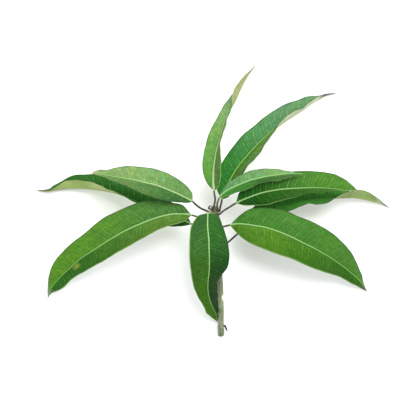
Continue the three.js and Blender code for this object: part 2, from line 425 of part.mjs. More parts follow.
// ---- twig ----
function twig() {
  const axis = spline(STEM_AXIS.map((r) => r[1]), STEM_AXIS);
  const y0 = STEM_AXIS[0][1], y1 = STEM_AXIS[STEM_AXIS.length - 1][1];
  const ys = [y0, y0 + 0.9, -147, NODE_RING_Y - 2.2, NODE_RING_Y - 0.8, NODE_RING_Y + 0.8, NODE_RING_Y + 2.2, -134, -124, -114,
    -109.5, -107.4, -105.1, -102.8, -100.6, -95, -84, -72, -60, -48, -36, -26, -16, -8, -2.4, 1.2, 3.2, 4.6, 5.2];
  const SIDES = 20, rings = [];
  for (const y of ys) {
    const q = axis(Math.min(y, y1)), a = axis(Math.max(y0, Math.min(y, y1) - 1)), b = axis(Math.min(y1, Math.max(y, y0) + 1));
    const C = new THREE.Vector3(q[0], y, q[2] + (y > y1 ? (y - y1) * 0.3 : 0));
    const T = new THREE.Vector3(b[0] - a[0], b[1] - a[1], b[2] - a[2]).normalize();
    const up = new THREE.Vector3(0, 0, 1).addScaledVector(T, -T.z).normalize();
    const right = T.clone().cross(up).normalize();
    let r = q[3];
    if (y <= y0) r -= 0.5;                                   // bevelled cut
    r += NODE_RING_RADIUS * Math.exp(-Math.pow((y - NODE_RING_Y) / 1.3, 2));
    if (y > 1.2) r *= Math.sqrt(Math.max(0.05, 1 - Math.pow((y - 1.2) / 4.3, 2)));   // rounded tip
    const ring = [];
    for (let k = 0; k < SIDES; k++) {
      const deg = (360 * k) / SIDES, w = Math.abs(((deg - LEAF_SCAR.angle + 540) % 360) - 180);
      const scar = LEAF_SCAR.rise * Math.exp(-Math.pow(w / LEAF_SCAR.across, 4))
        * Math.exp(-Math.pow((y - LEAF_SCAR.y) / LEAF_SCAR.along, 4));
      const t = (deg * Math.PI) / 180, rr = r + scar;
      ring.push(C.clone().addScaledVector(up, Math.cos(t) * rr).addScaledVector(right, Math.sin(t) * rr));
    }
    rings.push(ring);
  }
  return skin(rings);
}

// ---- tapering round rod along points, for the bud and the stump ----
function rod(points, radii, sides = 12) {
  const curve = new THREE.CatmullRomCurve3(points.map(V), false, 'centripetal');
  const n = radii.length, rings = [];
  for (let i = 0; i < n; i++) {
    const t = i / (n - 1), c = curve.getPoint(t), T = curve.getTangent(t);
    const up = new THREE.Vector3(0, 0, 1).addScaledVector(T, -T.z).normalize();
    const right = T.clone().cross(up).normalize(), ring = [];
    for (let k = 0; k < sides; k++) {
      const a = (2 * Math.PI * k) / sides;
      ring.push(c.clone().addScaledVector(up, Math.cos(a) * radii[i]).addScaledVector(right, Math.sin(a) * radii[i]));
    }
    rings.push(ring);
  }
  return skin(rings);
}

const BUD_PATH = [[-0.15, 1.15, 46.4], [-0.85, 1.95, 46.9], [-0.85, 3.05, 47.1], [0.3, 4.0, 46.9], [2.1, 4.75, 46.4]];
const BUD_RADII = [0.8, 0.95, 0.9, 0.8, 0.65, 0.35];
const STUMP_PATH = [[18.2, -140.2, 8.35], [18.8, -141.8, 8.4], [19.9, -144.4, 8.0], [20.9, -147.2, 7.4]];
const STUMP_RADII = [1.3, 1.25, 1.1, 0.95, 0.7];

// ---- assembly ----
const group = new THREE.Group();
function add(name, geometry, color, roughness) {
  const mesh = new THREE.Mesh(geometry, new THREE.MeshStandardMaterial({ color, roughness, metalness: 0 }));
  mesh.name = name;
  group.add(mesh);
}
add('stem', twig(), 0x87946a, 0.75);
add('terminal_bud', rod(BUD_PATH, BUD_RADII), 0x5c4530, 0.8);
add('stalk_stump', rod(STUMP_PATH, STUMP_RADII), 0x4c4034, 0.85);
for (const [name, def] of Object.entries(LEAVES)) add(name, leaf(def), LEAF_LOOK[name], 0.45);

// origin: middle of the footprint, on the table
const box = new THREE.Box3();
for (const mesh of group.children) {
  mesh.geometry.computeBoundingBox();
  box.union(mesh.geometry.boundingBox);
}
const mid = box.getCenter(new THREE.Vector3());
for (const mesh of group.children) mesh.geometry.translate(-mid.x, -mid.y, -box.min.z);

export default group;
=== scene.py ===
import bpy, json, math
import numpy as np
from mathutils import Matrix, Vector

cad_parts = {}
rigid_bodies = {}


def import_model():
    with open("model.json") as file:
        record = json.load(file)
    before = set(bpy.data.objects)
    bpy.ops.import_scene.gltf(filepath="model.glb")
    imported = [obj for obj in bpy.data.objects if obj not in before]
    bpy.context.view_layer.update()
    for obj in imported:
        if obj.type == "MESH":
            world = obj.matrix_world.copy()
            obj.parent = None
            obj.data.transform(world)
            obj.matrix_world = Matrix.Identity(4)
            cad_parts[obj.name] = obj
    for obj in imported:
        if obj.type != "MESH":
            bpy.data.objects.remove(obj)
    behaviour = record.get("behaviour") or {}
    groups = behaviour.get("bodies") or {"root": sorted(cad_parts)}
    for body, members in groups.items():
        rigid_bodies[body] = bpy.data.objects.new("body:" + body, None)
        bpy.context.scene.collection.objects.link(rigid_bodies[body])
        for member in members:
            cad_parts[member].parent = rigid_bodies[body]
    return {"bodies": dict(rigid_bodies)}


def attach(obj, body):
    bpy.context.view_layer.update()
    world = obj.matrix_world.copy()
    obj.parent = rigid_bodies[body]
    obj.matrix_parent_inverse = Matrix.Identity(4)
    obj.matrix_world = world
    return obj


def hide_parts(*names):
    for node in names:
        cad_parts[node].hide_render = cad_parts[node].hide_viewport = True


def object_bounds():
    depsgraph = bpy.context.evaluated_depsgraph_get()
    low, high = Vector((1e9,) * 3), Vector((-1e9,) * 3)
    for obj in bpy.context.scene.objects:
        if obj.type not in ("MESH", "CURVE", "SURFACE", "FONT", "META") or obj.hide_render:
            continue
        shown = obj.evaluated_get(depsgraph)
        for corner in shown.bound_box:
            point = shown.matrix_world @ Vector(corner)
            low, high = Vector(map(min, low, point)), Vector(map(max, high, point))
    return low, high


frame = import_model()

CAD_BOX = [list(map(float, c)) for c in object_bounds()]

# ---- the sprig's shape, in millimetres, as in the CAD ----

STEM_AXIS = [
    (13.5, -152.9, 3.9, 3.84),
    (13.1, -137.2, 8.3, 3.67),
    (13.3, -121, 12.9, 3.53),
    (13, -104.9, 17.3, 3.47),
    (12.3, -90.2, 21.4, 3.55),
    (11.3, -76.7, 24.9, 3.62),
    (10.2, -59.7, 29.3, 3.79),
    (8.8, -42.9, 33.5, 3.99),
    (7.4, -26.1, 37.6, 4.15),
    (5.8, -9.5, 41.6, 4.28),
    (5.1, -2.4, 43.3, 4.3),
    (4.5, 3.8, 44.8, 3.64),
]
LEAVES = {
    "leaf_top_left": dict(
        stalk=[(3.79, 1.79, 48.5), (3.5, 1.4, 50.02), (5.4, 7.6, 51.5), (6, 12.9, 52.5), (5.2, 18.2, 53)],
        blade=[
            (0, 4.6, 23, 53, 3.9, 23.2, 52.9, 5.4, 22.3, 53),
            (0.02, 4.3, 26.4, 54.1, 0.1, 26.9, 52.8, 9.7, 26.4, 54.1),
            (0.06, 4, 31.6, 55.5, -3.7, 32.3, 53.9, 11.4, 32.3, 58.1),
            (0.1, 4.1, 38.6, 57, -7.2, 40.1, 55.9, 12.9, 39.1, 62.7),
            (0.16, 4.7, 48, 58.3, -8.8, 50.3, 56.9, 13.1, 47.6, 68.9),
            (0.23, 6.3, 58.9, 59, -7.9, 62.2, 55.9, 12.6, 58, 73.1),
            (0.31, 8.5, 71.3, 58.7, -5.5, 74.9, 54.6, 11.9, 69.6, 75.2),
            (0.39, 12.1, 83.5, 57.3, -2, 87.7, 52.9, 13.4, 81.8, 74.7),
            (0.47, 15.2, 95.9, 54.5, 3.7, 100, 49.5, 16.9, 93.9, 71.7),
            (0.55, 19.1, 108.3, 50, 9.9, 112.3, 44.7, 20.8, 106.1, 66.7),
            (0.63, 24.9, 120.2, 43.8, 16.6, 124.2, 38.4, 25.1, 118.2, 59.4),
            (0.7, 30.5, 130.6, 37, 23.5, 134.7, 31.8, 25.8, 130.9, 50.3),
            (0.77, 35.3, 141.7, 29.2, 30.6, 143.9, 24.1, 28.7, 142.8, 39.3),
            (0.83, 39.8, 151.3, 21.7, 37.5, 152.5, 17.2, 34.1, 152.8, 29.9),
            (0.88, 44.5, 159.9, 14.5, 43.5, 160.4, 10.9, 40.6, 160.6, 21.3),
            (0.94, 49.2, 167.5, 8.1, 48.7, 167.1, 5.6, 46.7, 167.3, 12.8),
            (0.97, 52.9, 173.1, 3.7, 52.7, 172.6, 2.2, 51.6, 172.8, 6.2),
            (1, 55.8, 177.2, 0.6, 55.8, 177.2, 0.6, 55.8, 177.2, 0.6),
        ]),
    "leaf_top_right": dict(
        stalk=[(9.55, -1.5, 42.57), (11.11, -1.28, 42.3), (11.8, 2.4, 45.3), (12.9, 6.5, 45.8), (13.7, 10, 46.3)],
        blade=[
            (0, 14.1, 13, 46.5, 13.4, 13.4, 46.4, 14.8, 12.5, 46.5),
            (0.02, 15.6, 16.9, 46.6, 9.9, 19.7, 46, 20.8, 14.8, 47.5),
            (0.06, 17.9, 22.7, 46.7, 7.7, 27.9, 45.7, 25.2, 20.6, 49.9),
            (0.1, 21.4, 30.6, 46.8, 8.3, 38.4, 45.6, 29.9, 27.5, 52.8),
            (0.16, 26.9, 40.6, 47, 11.7, 50.8, 45.6, 34.9, 36.5, 57.5),
            (0.23, 34.1, 51.9, 47, 19.1, 63.7, 45.5, 41.2, 46.9, 61.4),
            (0.31, 43.9, 63.7, 46.5, 28.8, 76.8, 44.9, 50.1, 57.4, 62.7),
            (0.39, 54.2, 75.1, 45.2, 39.4, 89.5, 43.6, 59.4, 68.6, 62.5),
            (0.47, 65.3, 85.8, 43, 52.8, 100.3, 36.4, 67.7, 81.2, 61.5),
            (0.55, 77, 96.1, 40, 65.4, 111.2, 34.8, 76.3, 94.1, 58.5),
            (0.63, 89.5, 105.7, 36.2, 78.8, 120.2, 32.2, 86, 106, 53.4),
            (0.7, 101.2, 113.4, 32, 91.7, 127.3, 30.6, 97.1, 116, 47.2),
            (0.77, 113, 121.3, 26.8, 105.2, 132.3, 22.3, 110.5, 120.6, 40.6),
            (0.83, 122.9, 128.7, 20.9, 118, 137.1, 15.6, 119.8, 129.6, 32.2),
            (0.88, 132.8, 134.7, 14.4, 130.4, 139.2, 9.2, 130.1, 136.2, 22.9),
            (0.94, 142.4, 139.6, 8.1, 140.8, 141.5, 4.5, 140.3, 139.7, 14),
            (0.97, 149.9, 142, 3.7, 149.1, 142.7, 1.7, 148.6, 141.9, 6.9),
            (1, 155.8, 143.3, 0.6, 155.8, 143.3, 0.6, 155.8, 143.3, 0.6),
        ]),
    "leaf_right_small": dict(
        stalk=[(7.95, -0.01, 47.3), (9.04, -0.18, 48.45), (8.4, 6.8, 52.5), (9.8, 11.4, 55.5)],
        blade=[
            (0, 11.1, 14.9, 58, 10.5, 15.5, 57.9, 11.7, 14.2, 58),
            (0.02, 12.6, 16.7, 59.3, 11.7, 18.4, 57.7, 15, 14.7, 58.1),
            (0.06, 15, 19.1, 61.2, 13.2, 22.3, 58.7, 18.5, 15.7, 59),
            (0.1, 18.6, 22, 63.7, 15.9, 27.2, 60.5, 22.6, 17.4, 60.2),
            (0.16, 24.1, 24.9, 67, 21, 31.8, 63, 27.8, 19.2, 61.5),
            (0.23, 30.5, 27.9, 70.4, 27.3, 36.2, 65.8, 34.4, 21, 63),
            (0.31, 38, 31.1, 73.9, 34.4, 40.6, 68.8, 41.6, 23.2, 64.5),
            (0.39, 45.6, 34, 76.7, 42.6, 43.9, 71.2, 48.4, 26.8, 66.4),
            (0.47, 53.5, 36, 78.7, 51.2, 46, 73, 55.5, 29.9, 68),
            (0.55, 61.4, 37.8, 79.8, 59.8, 47.3, 74, 63.1, 31.8, 69.6),
            (0.63, 69.5, 39.2, 79.9, 68.2, 47.9, 74.2, 70.6, 33, 70.8),
            (0.7, 76.7, 40, 79.2, 76, 47.6, 73.7, 77.8, 34.2, 71.1),
            (0.77, 83.9, 41, 77.8, 83.2, 46.1, 72.5, 84.6, 35.5, 71),
            (0.83, 90.2, 41.8, 76.1, 89.9, 44.7, 71.3, 90.7, 37, 70.5),
            (0.88, 96, 41.9, 74.1, 95.8, 43.6, 70.3, 96.1, 38.5, 69.7),
            (0.94, 101.3, 42, 72.1, 100.9, 42.7, 69.4, 100.9, 39.7, 69),
            (0.97, 105.2, 41.6, 70.4, 104.9, 41.9, 68.8, 104.9, 40.6, 68.5),
            (1, 108.2, 41.2, 69, 108.2, 41.2, 69, 108.2, 41.2, 69),
        ]),
    "leaf_right_upper": dict(
        stalk=[(9.43, -5.05, 44.78), (10.86, -5.08, 45.51), (15.3, -1.4, 49.5), (21.1, 2.3, 51), (26.5, 5.7, 52.2)],
        blade=[
            (0, 30.9, 8.3, 53, 30.6, 8.9, 53, 31.7, 7.6, 53),
            (0.02, 33.8, 9.8, 53.8, 32, 14.5, 52.1, 36.1, 6.3, 52),
            (0.06, 38, 11.8, 55, 34.6, 20.6, 53, 41.6, 5.3, 52),
            (0.1, 44, 14.2, 56.7, 40.2, 26.4, 54.5, 48.5, 5.1, 52),
            (0.16, 51.9, 17.3, 59, 47.9, 32.2, 56.2, 56.8, 5.3, 52.2),
            (0.23, 61.4, 20.3, 61.3, 57.7, 37.6, 58.3, 66, 6.3, 52.5),
            (0.31, 72.5, 22.6, 63.2, 69, 42, 61.6, 75.9, 8.6, 52.3),
            (0.39, 83.8, 24.2, 64, 81.5, 44.2, 61.1, 86.4, 11.5, 51.4),
            (0.47, 95.2, 25.1, 63.8, 94.1, 44.9, 60.1, 97.1, 14.6, 49.9),
            (0.55, 106.8, 25.6, 62.7, 106.2, 45.4, 60, 108.1, 18.1, 48),
            (0.63, 118.4, 26, 60.6, 117.9, 45.5, 59.1, 119.2, 20.1, 46.5),
            (0.7, 128.7, 25.9, 58, 129.3, 44.8, 56.5, 129.8, 20.8, 44.9),
            (0.77, 139.1, 25.5, 54.6, 140.1, 43.3, 53.1, 139.6, 22, 42.8),
            (0.83, 148.1, 24.6, 51.2, 149.7, 40.8, 49.9, 148.8, 22.6, 41),
            (0.88, 156.4, 23.4, 47.9, 157.6, 37.1, 46.8, 156.9, 22.8, 39.6),
            (0.94, 164.1, 23.2, 44.8, 164, 32.9, 44.1, 163.9, 23, 39),
            (0.97, 169.7, 23.5, 42.6, 169.3, 28.4, 42.2, 169.6, 23.3, 39.2),
            (1, 174, 23.9, 41, 174, 23.9, 41, 174, 23.9, 41),
        ]),
    "leaf_right_under": dict(
        stalk=[(13.18, -44.24, 32.73), (14.77, -44.08, 32.6), (18.5, -40.8, 31), (23.4, -37, 30.5), (28.9, -32.1, 29.6)],
        blade=[
            (0, 34.1, -27.7, 29, 33.5, -26.9, 28.9, 34.9, -28.4, 29),
            (0.02, 37.2, -24.8, 28.9, 35.6, -21.7, 27.8, 40.9, -27.9, 30.1),
            (0.06, 42, -20.6, 28.8, 38.8, -15.1, 27.1, 47.9, -26.6, 30.4),
            (0.1, 48.7, -15.1, 28.5, 43.8, -6.3, 26.6, 56, -23.2, 31),
            (0.16, 58.3, -8.5, 27.9, 52, 3.5, 26, 65.2, -18.2, 32.8),
            (0.23, 70.2, -2, 27, 64.3, 12.5, 25, 75.5, -11.7, 35.5),
            (0.31, 84.6, 4, 25.7, 79.4, 19.7, 23.4, 87.3, -5, 38.2),
            (0.39, 99.6, 8.3, 24.2, 95.5, 25.9, 22.2, 100.2, 1.5, 39.3),
            (0.47, 115, 11.3, 22.4, 112.1, 30.2, 21.4, 114.2, 6.7, 39.1),
            (0.55, 130.7, 13.1, 20, 128.9, 31.9, 19.1, 129.7, 6.8, 36.8),
            (0.63, 146.6, 14.1, 17, 145.3, 31, 15.3, 144.7, 11, 34.1),
            (0.7, 160.6, 14.9, 14, 160.4, 25.6, 10.6, 158.3, 19.2, 29.3),
            (0.77, 174.8, 14.8, 10.8, 174.5, 20.9, 7.3, 173.2, 23.9, 21.4),
            (0.83, 186.8, 12.9, 7.9, 187.5, 18.1, 5, 187.3, 23.2, 13.8),
            (0.88, 197.7, 10.5, 5.4, 198.4, 14, 3, 198.3, 18, 11.2),
            (0.94, 207.6, 7.9, 3.2, 207.3, 10, 1.5, 206.9, 12.2, 8.4),
            (0.97, 214.6, 5.3, 1.7, 214.3, 6.2, 0.7, 213.5, 6.6, 5.5),
            (1, 219.4, 2.2, 0.6, 219.4, 2.2, 0.6, 219.4, 2.2, 0.6),
        ]),
    "leaf_left_small": dict(
        stalk=[(0.53, -2.07, 44.45), (-1.02, -2.3, 44.77), (-4.7, -0.7, 47), (-10.6, 1.9, 49.5), (-16.2, 5.9, 53)],
        blade=[
            (0, -20.8, 10.6, 56, -21.3, 9.4, 56, -20.4, 11.7, 55.9),
            (0.02, -23.2, 11.8, 57.8, -25.3, 8.5, 55.6, -20.5, 17.3, 56),
            (0.06, -26.8, 13.6, 60.5, -30.1, 8.5, 56.5, -22.7, 22.7, 58.4),
            (0.1, -31.7, 16, 64.1, -36.2, 8.7, 58, -26.9, 27.6, 61.3),
            (0.16, -38.1, 19.1, 68.8, -43.5, 9.3, 60, -32.8, 32.6, 64.9),
            (0.23, -45.8, 22.4, 73.6, -51.7, 10.5, 63.1, -40.1, 37.7, 69.3),
            (0.31, -54.6, 26, 78.2, -60.1, 12.4, 67.6, -48.9, 42.6, 73.5),
            (0.39, -63.6, 29, 81.4, -68.5, 14.9, 70.4, -58.8, 46, 76.1),
            (0.47, -72.9, 31.2, 83, -76.9, 18.4, 70.9, -69, 48.4, 77.5),
            (0.55, -82.3, 33.4, 83, -85.6, 22.2, 70.3, -79.2, 49.8, 77.2),
            (0.63, -91.9, 35.4, 81.4, -94.2, 26.2, 68.6, -89.2, 50.5, 75.6),
            (0.7, -100.5, 36.7, 78.9, -102.5, 29.8, 66.5, -98.6, 50.3, 73.1),
            (0.77, -109.1, 38.2, 75.6, -110.5, 33.1, 64.3, -107.4, 49.5, 70),
            (0.83, -116.6, 39.6, 72.3, -117.7, 36.1, 62.4, -115.6, 47.8, 66.8),
            (0.88, -123.5, 40.5, 69.1, -124.3, 38.3, 60.9, -122.7, 46.5, 64.3),
            (0.94, -129.9, 41.3, 66, -130, 40.2, 60, -129, 46.6, 62.8),
            (0.97, -134.6, 42.1, 63.7, -134.6, 41.7, 60, -134.2, 45.3, 61.7),
            (1, -138.2, 43, 62, -138.2, 43, 62, -138.2, 43, 62),
        ]),
    "leaf_left_under": dict(
        stalk=[(3.03, -26.92, 36.73), (1.46, -26.99, 36.46), (-0.6, -25, 35.5), (-7.7, -22.1, 34.6), (-15.5, -19, 33.8)],
        blade=[
            (0, -22.6, -16.4, 33, -23.2, -17.4, 33, -22.6, -15.5, 33),
            (0.02, -26.5, -14.6, 32.9, -29.1, -18.7, 33.8, -25.4, -9.9, 31.9),
            (0.06, -32.3, -12.1, 32.6, -36.4, -19.4, 33.9, -29.8, -3.9, 31.4),
            (0.1, -40.4, -8.8, 31.9, -45.9, -19.7, 32.6, -37.1, 2.7, 30.7),
            (0.16, -51.2, -4.5, 30.8, -57, -17, 34.1, -46.6, 10.1, 30),
            (0.23, -64, 0.2, 29, -68.3, -9.4, 38.8, -58, 17.7, 28.1),
            (0.31, -78.6, 5.8, 26.4, -79.3, 1.6, 42, -71, 24.7, 25.4),
            (0.39, -93, 12.1, 23.5, -91.7, 11.1, 42.1, -85.3, 30.8, 22.5),
            (0.47, -107.5, 18.5, 20.3, -106.2, 18.1, 39.2, -101.3, 36.4, 19.2),
            (0.55, -122.8, 22.6, 17, -120.7, 24.9, 35.2, -118.7, 40.7, 16.1),
            (0.63, -138.7, 24.9, 13.8, -135.5, 31, 29.9, -135.7, 43.6, 12.9),
            (0.7, -152.7, 26.3, 11, -150.4, 35.1, 24.1, -151.7, 43.2, 10.2),
            (0.77, -166.8, 26.6, 8.1, -165.1, 36.4, 18, -166.7, 42, 7.4),
            (0.83, -178.9, 26, 5.8, -177.9, 33.4, 15.1, -179.6, 36.2, 3.5),
            (0.88, -189.9, 24.4, 3.8, -188.1, 27.2, 12.9, -190.4, 30.2, 1.3),
            (0.94, -199.8, 22.9, 2.2, -197.6, 23.6, 8.8, -198.8, 25.1, 0.5),
            (0.97, -207.3, 23.4, 1.2, -205.8, 23.6, 5.1, -206.6, 24.4, 0.5),
            (1, -212.9, 23.8, 0.6, -212.9, 23.8, 0.6, -212.9, 23.8, 0.6),
        ]),
    "leaf_left_lower": dict(
        stalk=[(1.9, -14.35, 41.99), (0.4, -14.6, 42.47), (-1.8, -13, 44.2), (-8.3, -10.6, 45.6), (-15.3, -7.9, 47)],
        blade=[
            (0, -22.1, -5.8, 48, -22, -6.4, 48, -22.4, -5.3, 47.9),
            (0.02, -26.6, -5.1, 49.1, -27.3, -11.4, 48, -27, 0.5, 47.3),
            (0.06, -33.3, -4.7, 50.8, -34.2, -14.9, 49.5, -33.8, 6.5, 49.4),
            (0.1, -42.4, -4.7, 53, -42.8, -17, 50.3, -45.2, 8.7, 51.4),
            (0.16, -54.3, -6.7, 55.8, -52.7, -20.3, 51.6, -59.4, 11.1, 53.6),
            (0.23, -67.8, -10.8, 58.2, -64.4, -25.2, 52.7, -75.9, 10.9, 55.4),
            (0.31, -82.9, -16.8, 59.1, -76.8, -32.3, 53, -92.6, 5.6, 56.2),
            (0.39, -97.7, -23.5, 57.9, -90, -39.6, 51.5, -109.2, -1.8, 55),
            (0.47, -112.2, -31.5, 55.1, -103.8, -47.2, 48.1, -125.3, -9.4, 52),
            (0.55, -126.4, -40.3, 50.7, -117.6, -55.4, 43.8, -139.1, -20.3, 47.9),
            (0.63, -140.8, -49.5, 44.4, -131.2, -63.4, 38.1, -152.9, -31, 41.8),
            (0.7, -153.6, -57.7, 38, -144.3, -70.6, 32.3, -166.5, -41.2, 35.5),
            (0.77, -165.2, -67.8, 31.2, -156.6, -77.4, 25.3, -178.4, -52.2, 28.8),
            (0.83, -175.3, -76.5, 24.9, -167.4, -84.5, 19.9, -188, -64.1, 22.8),
            (0.88, -184.1, -85.2, 18.9, -175.3, -92.6, 17.1, -193.9, -76.9, 17.3),
            (0.94, -191.2, -94, 13.4, -184.5, -97.9, 11.3, -196.3, -89.6, 9.9),
            (0.97, -195.1, -101.3, 9.6, -192.9, -101.5, 7.2, -197.2, -99.5, 7),
            (1, -197.3, -107.2, 7, -197.3, -107.2, 7, -197.3, -107.2, 7),
        ]),
    "leaf_right_lower": dict(
        stalk=[(11.1, -20.08, 40.41), (12.63, -20.05, 40.89), (14.4, -19.9, 42.8), (19.1, -18.9, 44.4)],
        blade=[
            (0, 24.1, -17.6, 45.5, 24.3, -16.9, 45.4, 23.9, -18.4, 45.5),
            (0.02, 28.1, -16.8, 46.5, 28.9, -12.2, 44.5, 29.1, -24.4, 46.1),
            (0.06, 34.2, -16.2, 48.1, 35.6, -6.2, 46.1, 34.6, -30, 47.3),
            (0.1, 42.4, -16.8, 50.1, 45.2, 0.4, 48, 41.2, -35.6, 49),
            (0.16, 53.4, -18.4, 52.6, 58, 2.9, 50, 50, -40.5, 51.3),
            (0.23, 66, -20.6, 54.8, 72.9, 2.2, 52, 60.5, -45, 53.3),
            (0.31, 80.1, -25.2, 56.1, 89, -0.8, 53, 71.8, -49.4, 54.5),
            (0.39, 93.8, -30.8, 55.6, 104.1, -7.7, 52.5, 84.1, -53.7, 54.1),
            (0.47, 107.3, -37.5, 53.3, 119.4, -13.5, 50, 97.4, -58.2, 51.9),
            (0.55, 121, -44.2, 49.2, 133.8, -20.7, 46.1, 110.5, -64.2, 47.9),
            (0.63, 134.6, -51.6, 43.8, 147.4, -29.5, 40.8, 123.5, -69.8, 42.5),
            (0.7, 146.4, -58.9, 37.9, 159.2, -40, 35.2, 136.7, -74.2, 35),
            (0.77, 158, -66.8, 30.9, 169.1, -51.3, 28.6, 149.4, -78.4, 26.2),
            (0.83, 167.8, -74.2, 23.9, 176.8, -63.6, 20.2, 160.7, -83, 19.2),
            (0.88, 176.6, -81.5, 17.4, 182.4, -75.5, 12.4, 170.1, -88.5, 13.6),
            (0.94, 183.9, -88.9, 11.7, 186.1, -85.9, 7.4, 178.6, -92.8, 8.7),
            (0.97, 188.6, -94.9, 7.7, 189, -93.8, 5, 185.8, -96.4, 5.5),
            (1, 191.7, -99.8, 5, 191.7, -99.8, 5, 191.7, -99.8, 5),
        ]),
    "leaf_over_stem": dict(
        stalk=[(3.91, -4.93, 47.22), (3.45, -5.33, 48.7), (1.4, -2.8, 52.5), (-0.8, -2.7, 54.8)],
        blade=[
            (0, -2.5, -3.9, 56, -1.6, -3.9, 55.9, -3.3, -3.9, 55.9),
            (0.02, -2.6, -6.7, 58.4, 7.7, -5.5, 57.4, -11.6, -5.6, 57.1),
            (0.06, -2.7, -10.9, 61.9, 11.8, -11.2, 60.4, -17.6, -10.8, 60.4),
            (0.1, -2.8, -16.6, 66.2, 14.2, -17, 64.5, -21.6, -17.7, 64.3),
            (0.16, -2.4, -24.2, 71.3, 16.7, -23.7, 68.7, -23.2, -25.9, 69.2),
            (0.23, -1.4, -32.9, 76, 19.2, -32.4, 72, -23.8, -34.7, 73.7),
            (0.31, -1.1, -42.9, 79.3, 21.3, -42.4, 76.4, -24.1, -43.8, 77),
            (0.39, -0.8, -53, 80.1, 22.3, -53, 77.8, -23.9, -53.4, 77.8),
            (0.47, -0.7, -63.2, 78, 20.7, -64.5, 71.9, -23.1, -63.1, 73.6),
            (0.55, -1.3, -73.6, 73, 14.4, -74.7, 61, -22.1, -73.2, 67.3),
            (0.63, -2.4, -84.3, 65.3, 9.6, -84.6, 48.6, -20.4, -84.1, 58.2),
            (0.7, -2.3, -93.9, 57, 8.8, -93.8, 40.8, -17.2, -95.6, 49.5),
            (0.77, -0.9, -103.5, 47.6, 8.8, -101.9, 32.8, -12.7, -106.4, 40.3),
            (0.83, 1.8, -111.7, 38.4, 8.9, -110, 25.1, -7.3, -115.1, 31.8),
            (0.88, 4.7, -119.2, 28.7, 8.9, -118.1, 17.3, -4.7, -123.3, 24.6),
            (0.94, 7.4, -126.2, 19, 8.8, -125.6, 10.3, 0.1, -128.4, 16.1),
            (0.97, 8.5, -131.7, 11.2, 8.8, -131.5, 5.9, 4.8, -132.5, 9),
            (1, 8.9, -136.1, 5, 8.8, -136.1, 5, 8.9, -136.1, 5),
        ]),
}
ORIGIN = (3.3623, 11.9009, 0.1197)  # mm, taken off every point of the tables

BLADE_BULGE = 0.10
STALK_RADIUS = 1.2
STALK_FOOT_RADIUS = 1.65
STALK_FOOT_LENGTH = 4.5

# how each leaf looks: display colours (0-255) of the upper face on the two halves near the stalk
# and near the tip, the underside, and how yellow or dark the point is.
# Some of these colours carry painted shade and painted sheen, noted at those leaves, and one key puts a painted
# highlight along one margin.
LOOK = {
    "leaf_top_left": dict(seed=1, L0=(99, 167, 68), L1=(134, 167, 111), R0=(92, 138, 70), R1=(100, 140, 70), under=(180, 182, 128), tip=(150, 150, 140), tip_at=0.93, vein=0.6, rib_w=1.7, rib_c=(232, 246, 184), rim_highlight_side=1),
    # leaf_top_right: the bluish grey of L1 is painted sheen on that half towards the tip
    "leaf_top_right": dict(seed=2, L0=(40, 141, 44), L1=(100, 146, 104), R0=(80, 130, 53), R1=(104, 136, 66), under=(250, 255, 222), tip=(122, 108, 118), tip_at=0.88, vein=1.0, rib_w=1.6, rib_c=(172, 238, 106), vein_w=1.6),
    "leaf_right_small": dict(seed=3, L0=(101, 159, 99), L1=(117, 161, 101), R0=(76, 168, 61), R1=(92, 142, 76), under=(150, 180, 116), tip=(150, 150, 110), tip_at=0.95, vein=0.7, rim_highlight_side=1, vein_w=1.3),
    # leaf_right_upper: L0 and R0 are painted shade, nearly black-green at the stalk end where leaf_right_small shades
    # the blade
    "leaf_right_upper": dict(seed=4, L0=(6, 90, 3), L1=(79, 137, 37), R0=(3, 84, 3), R1=(72, 141, 21), under=(150, 176, 110), tip=(96, 120, 70), tip_at=0.96, vein=1.0, vein_w=1.4, rim_highlight_side=1),
    "leaf_right_under": dict(seed=5, L0=(40, 118, 26), L1=(58, 132, 44), R0=(44, 124, 24), R1=(54, 128, 32), under=(166, 190, 114), under2=(244, 246, 208), pale_at=0.87, tip=(132, 122, 112), tip_at=0.95, vein=0.8, rib_c=(92, 150, 58), rib_w=1.0),
    # leaf_left_small: R0 and R1 are partly the leaf's own lighter green and partly painted sheen, pale grey-green on
    # that half
    "leaf_left_small": dict(seed=6, L0=(71, 135, 61), L1=(135, 181, 105), R0=(114, 163, 93), R1=(131, 164, 104), under=(160, 186, 124), tip=(182, 172, 140), tip_at=0.94, vein=1.0, rib_c=(206, 240, 170), vein_w=1.9),
    "leaf_left_under": dict(seed=7, L0=(26, 98, 11), L1=(35, 102, 19), R0=(30, 103, 15), R1=(41, 109, 28), under=(229, 249, 162), under2=(196, 222, 130), pale_at=0.62, tip=(140, 124, 120), tip_at=0.96, vein=1.0, vein_w=1.4),
    "leaf_left_lower": dict(seed=8, L0=(100, 144, 51), L1=(37, 109, 3), R0=(71, 124, 50), R1=(90, 149, 24), under=(150, 182, 110), tip=(150, 154, 138), tip_at=0.955, vein=0.95, vein_w=1.2, rim_highlight_side=-1),
    "leaf_right_lower": dict(seed=9, L0=(66, 131, 39), L1=(70, 128, 37), R0=(83, 137, 22), R1=(50, 112, 3), under=(150, 182, 110), tip=(112, 112, 112), tip_at=0.945, vein=0.85, rim_highlight_side=1),
    # leaf_over_stem: L1 is painted shade, the half beside the twig nearly black-green towards the tip
    "leaf_over_stem": dict(seed=10, L0=(42, 100, 38), L1=(3, 54, 3), R0=(50, 98, 44), R1=(69, 124, 13), under=(140, 170, 100), tip=(96, 120, 66), tip_at=0.97, vein=0.6, spec=0.05, rough=0.62, rim_highlight_side=1),
}


GAIN = 0.52   # display colour to surface colour, under this light


def lin(c, gain=GAIN):
    out = []
    for v in c:
        v = v / 255.0
        out.append(gain * (v / 12.92 if v <= 0.04045 else ((v + 0.055) / 1.055) ** 2.4))
    return (*out, 1.0)


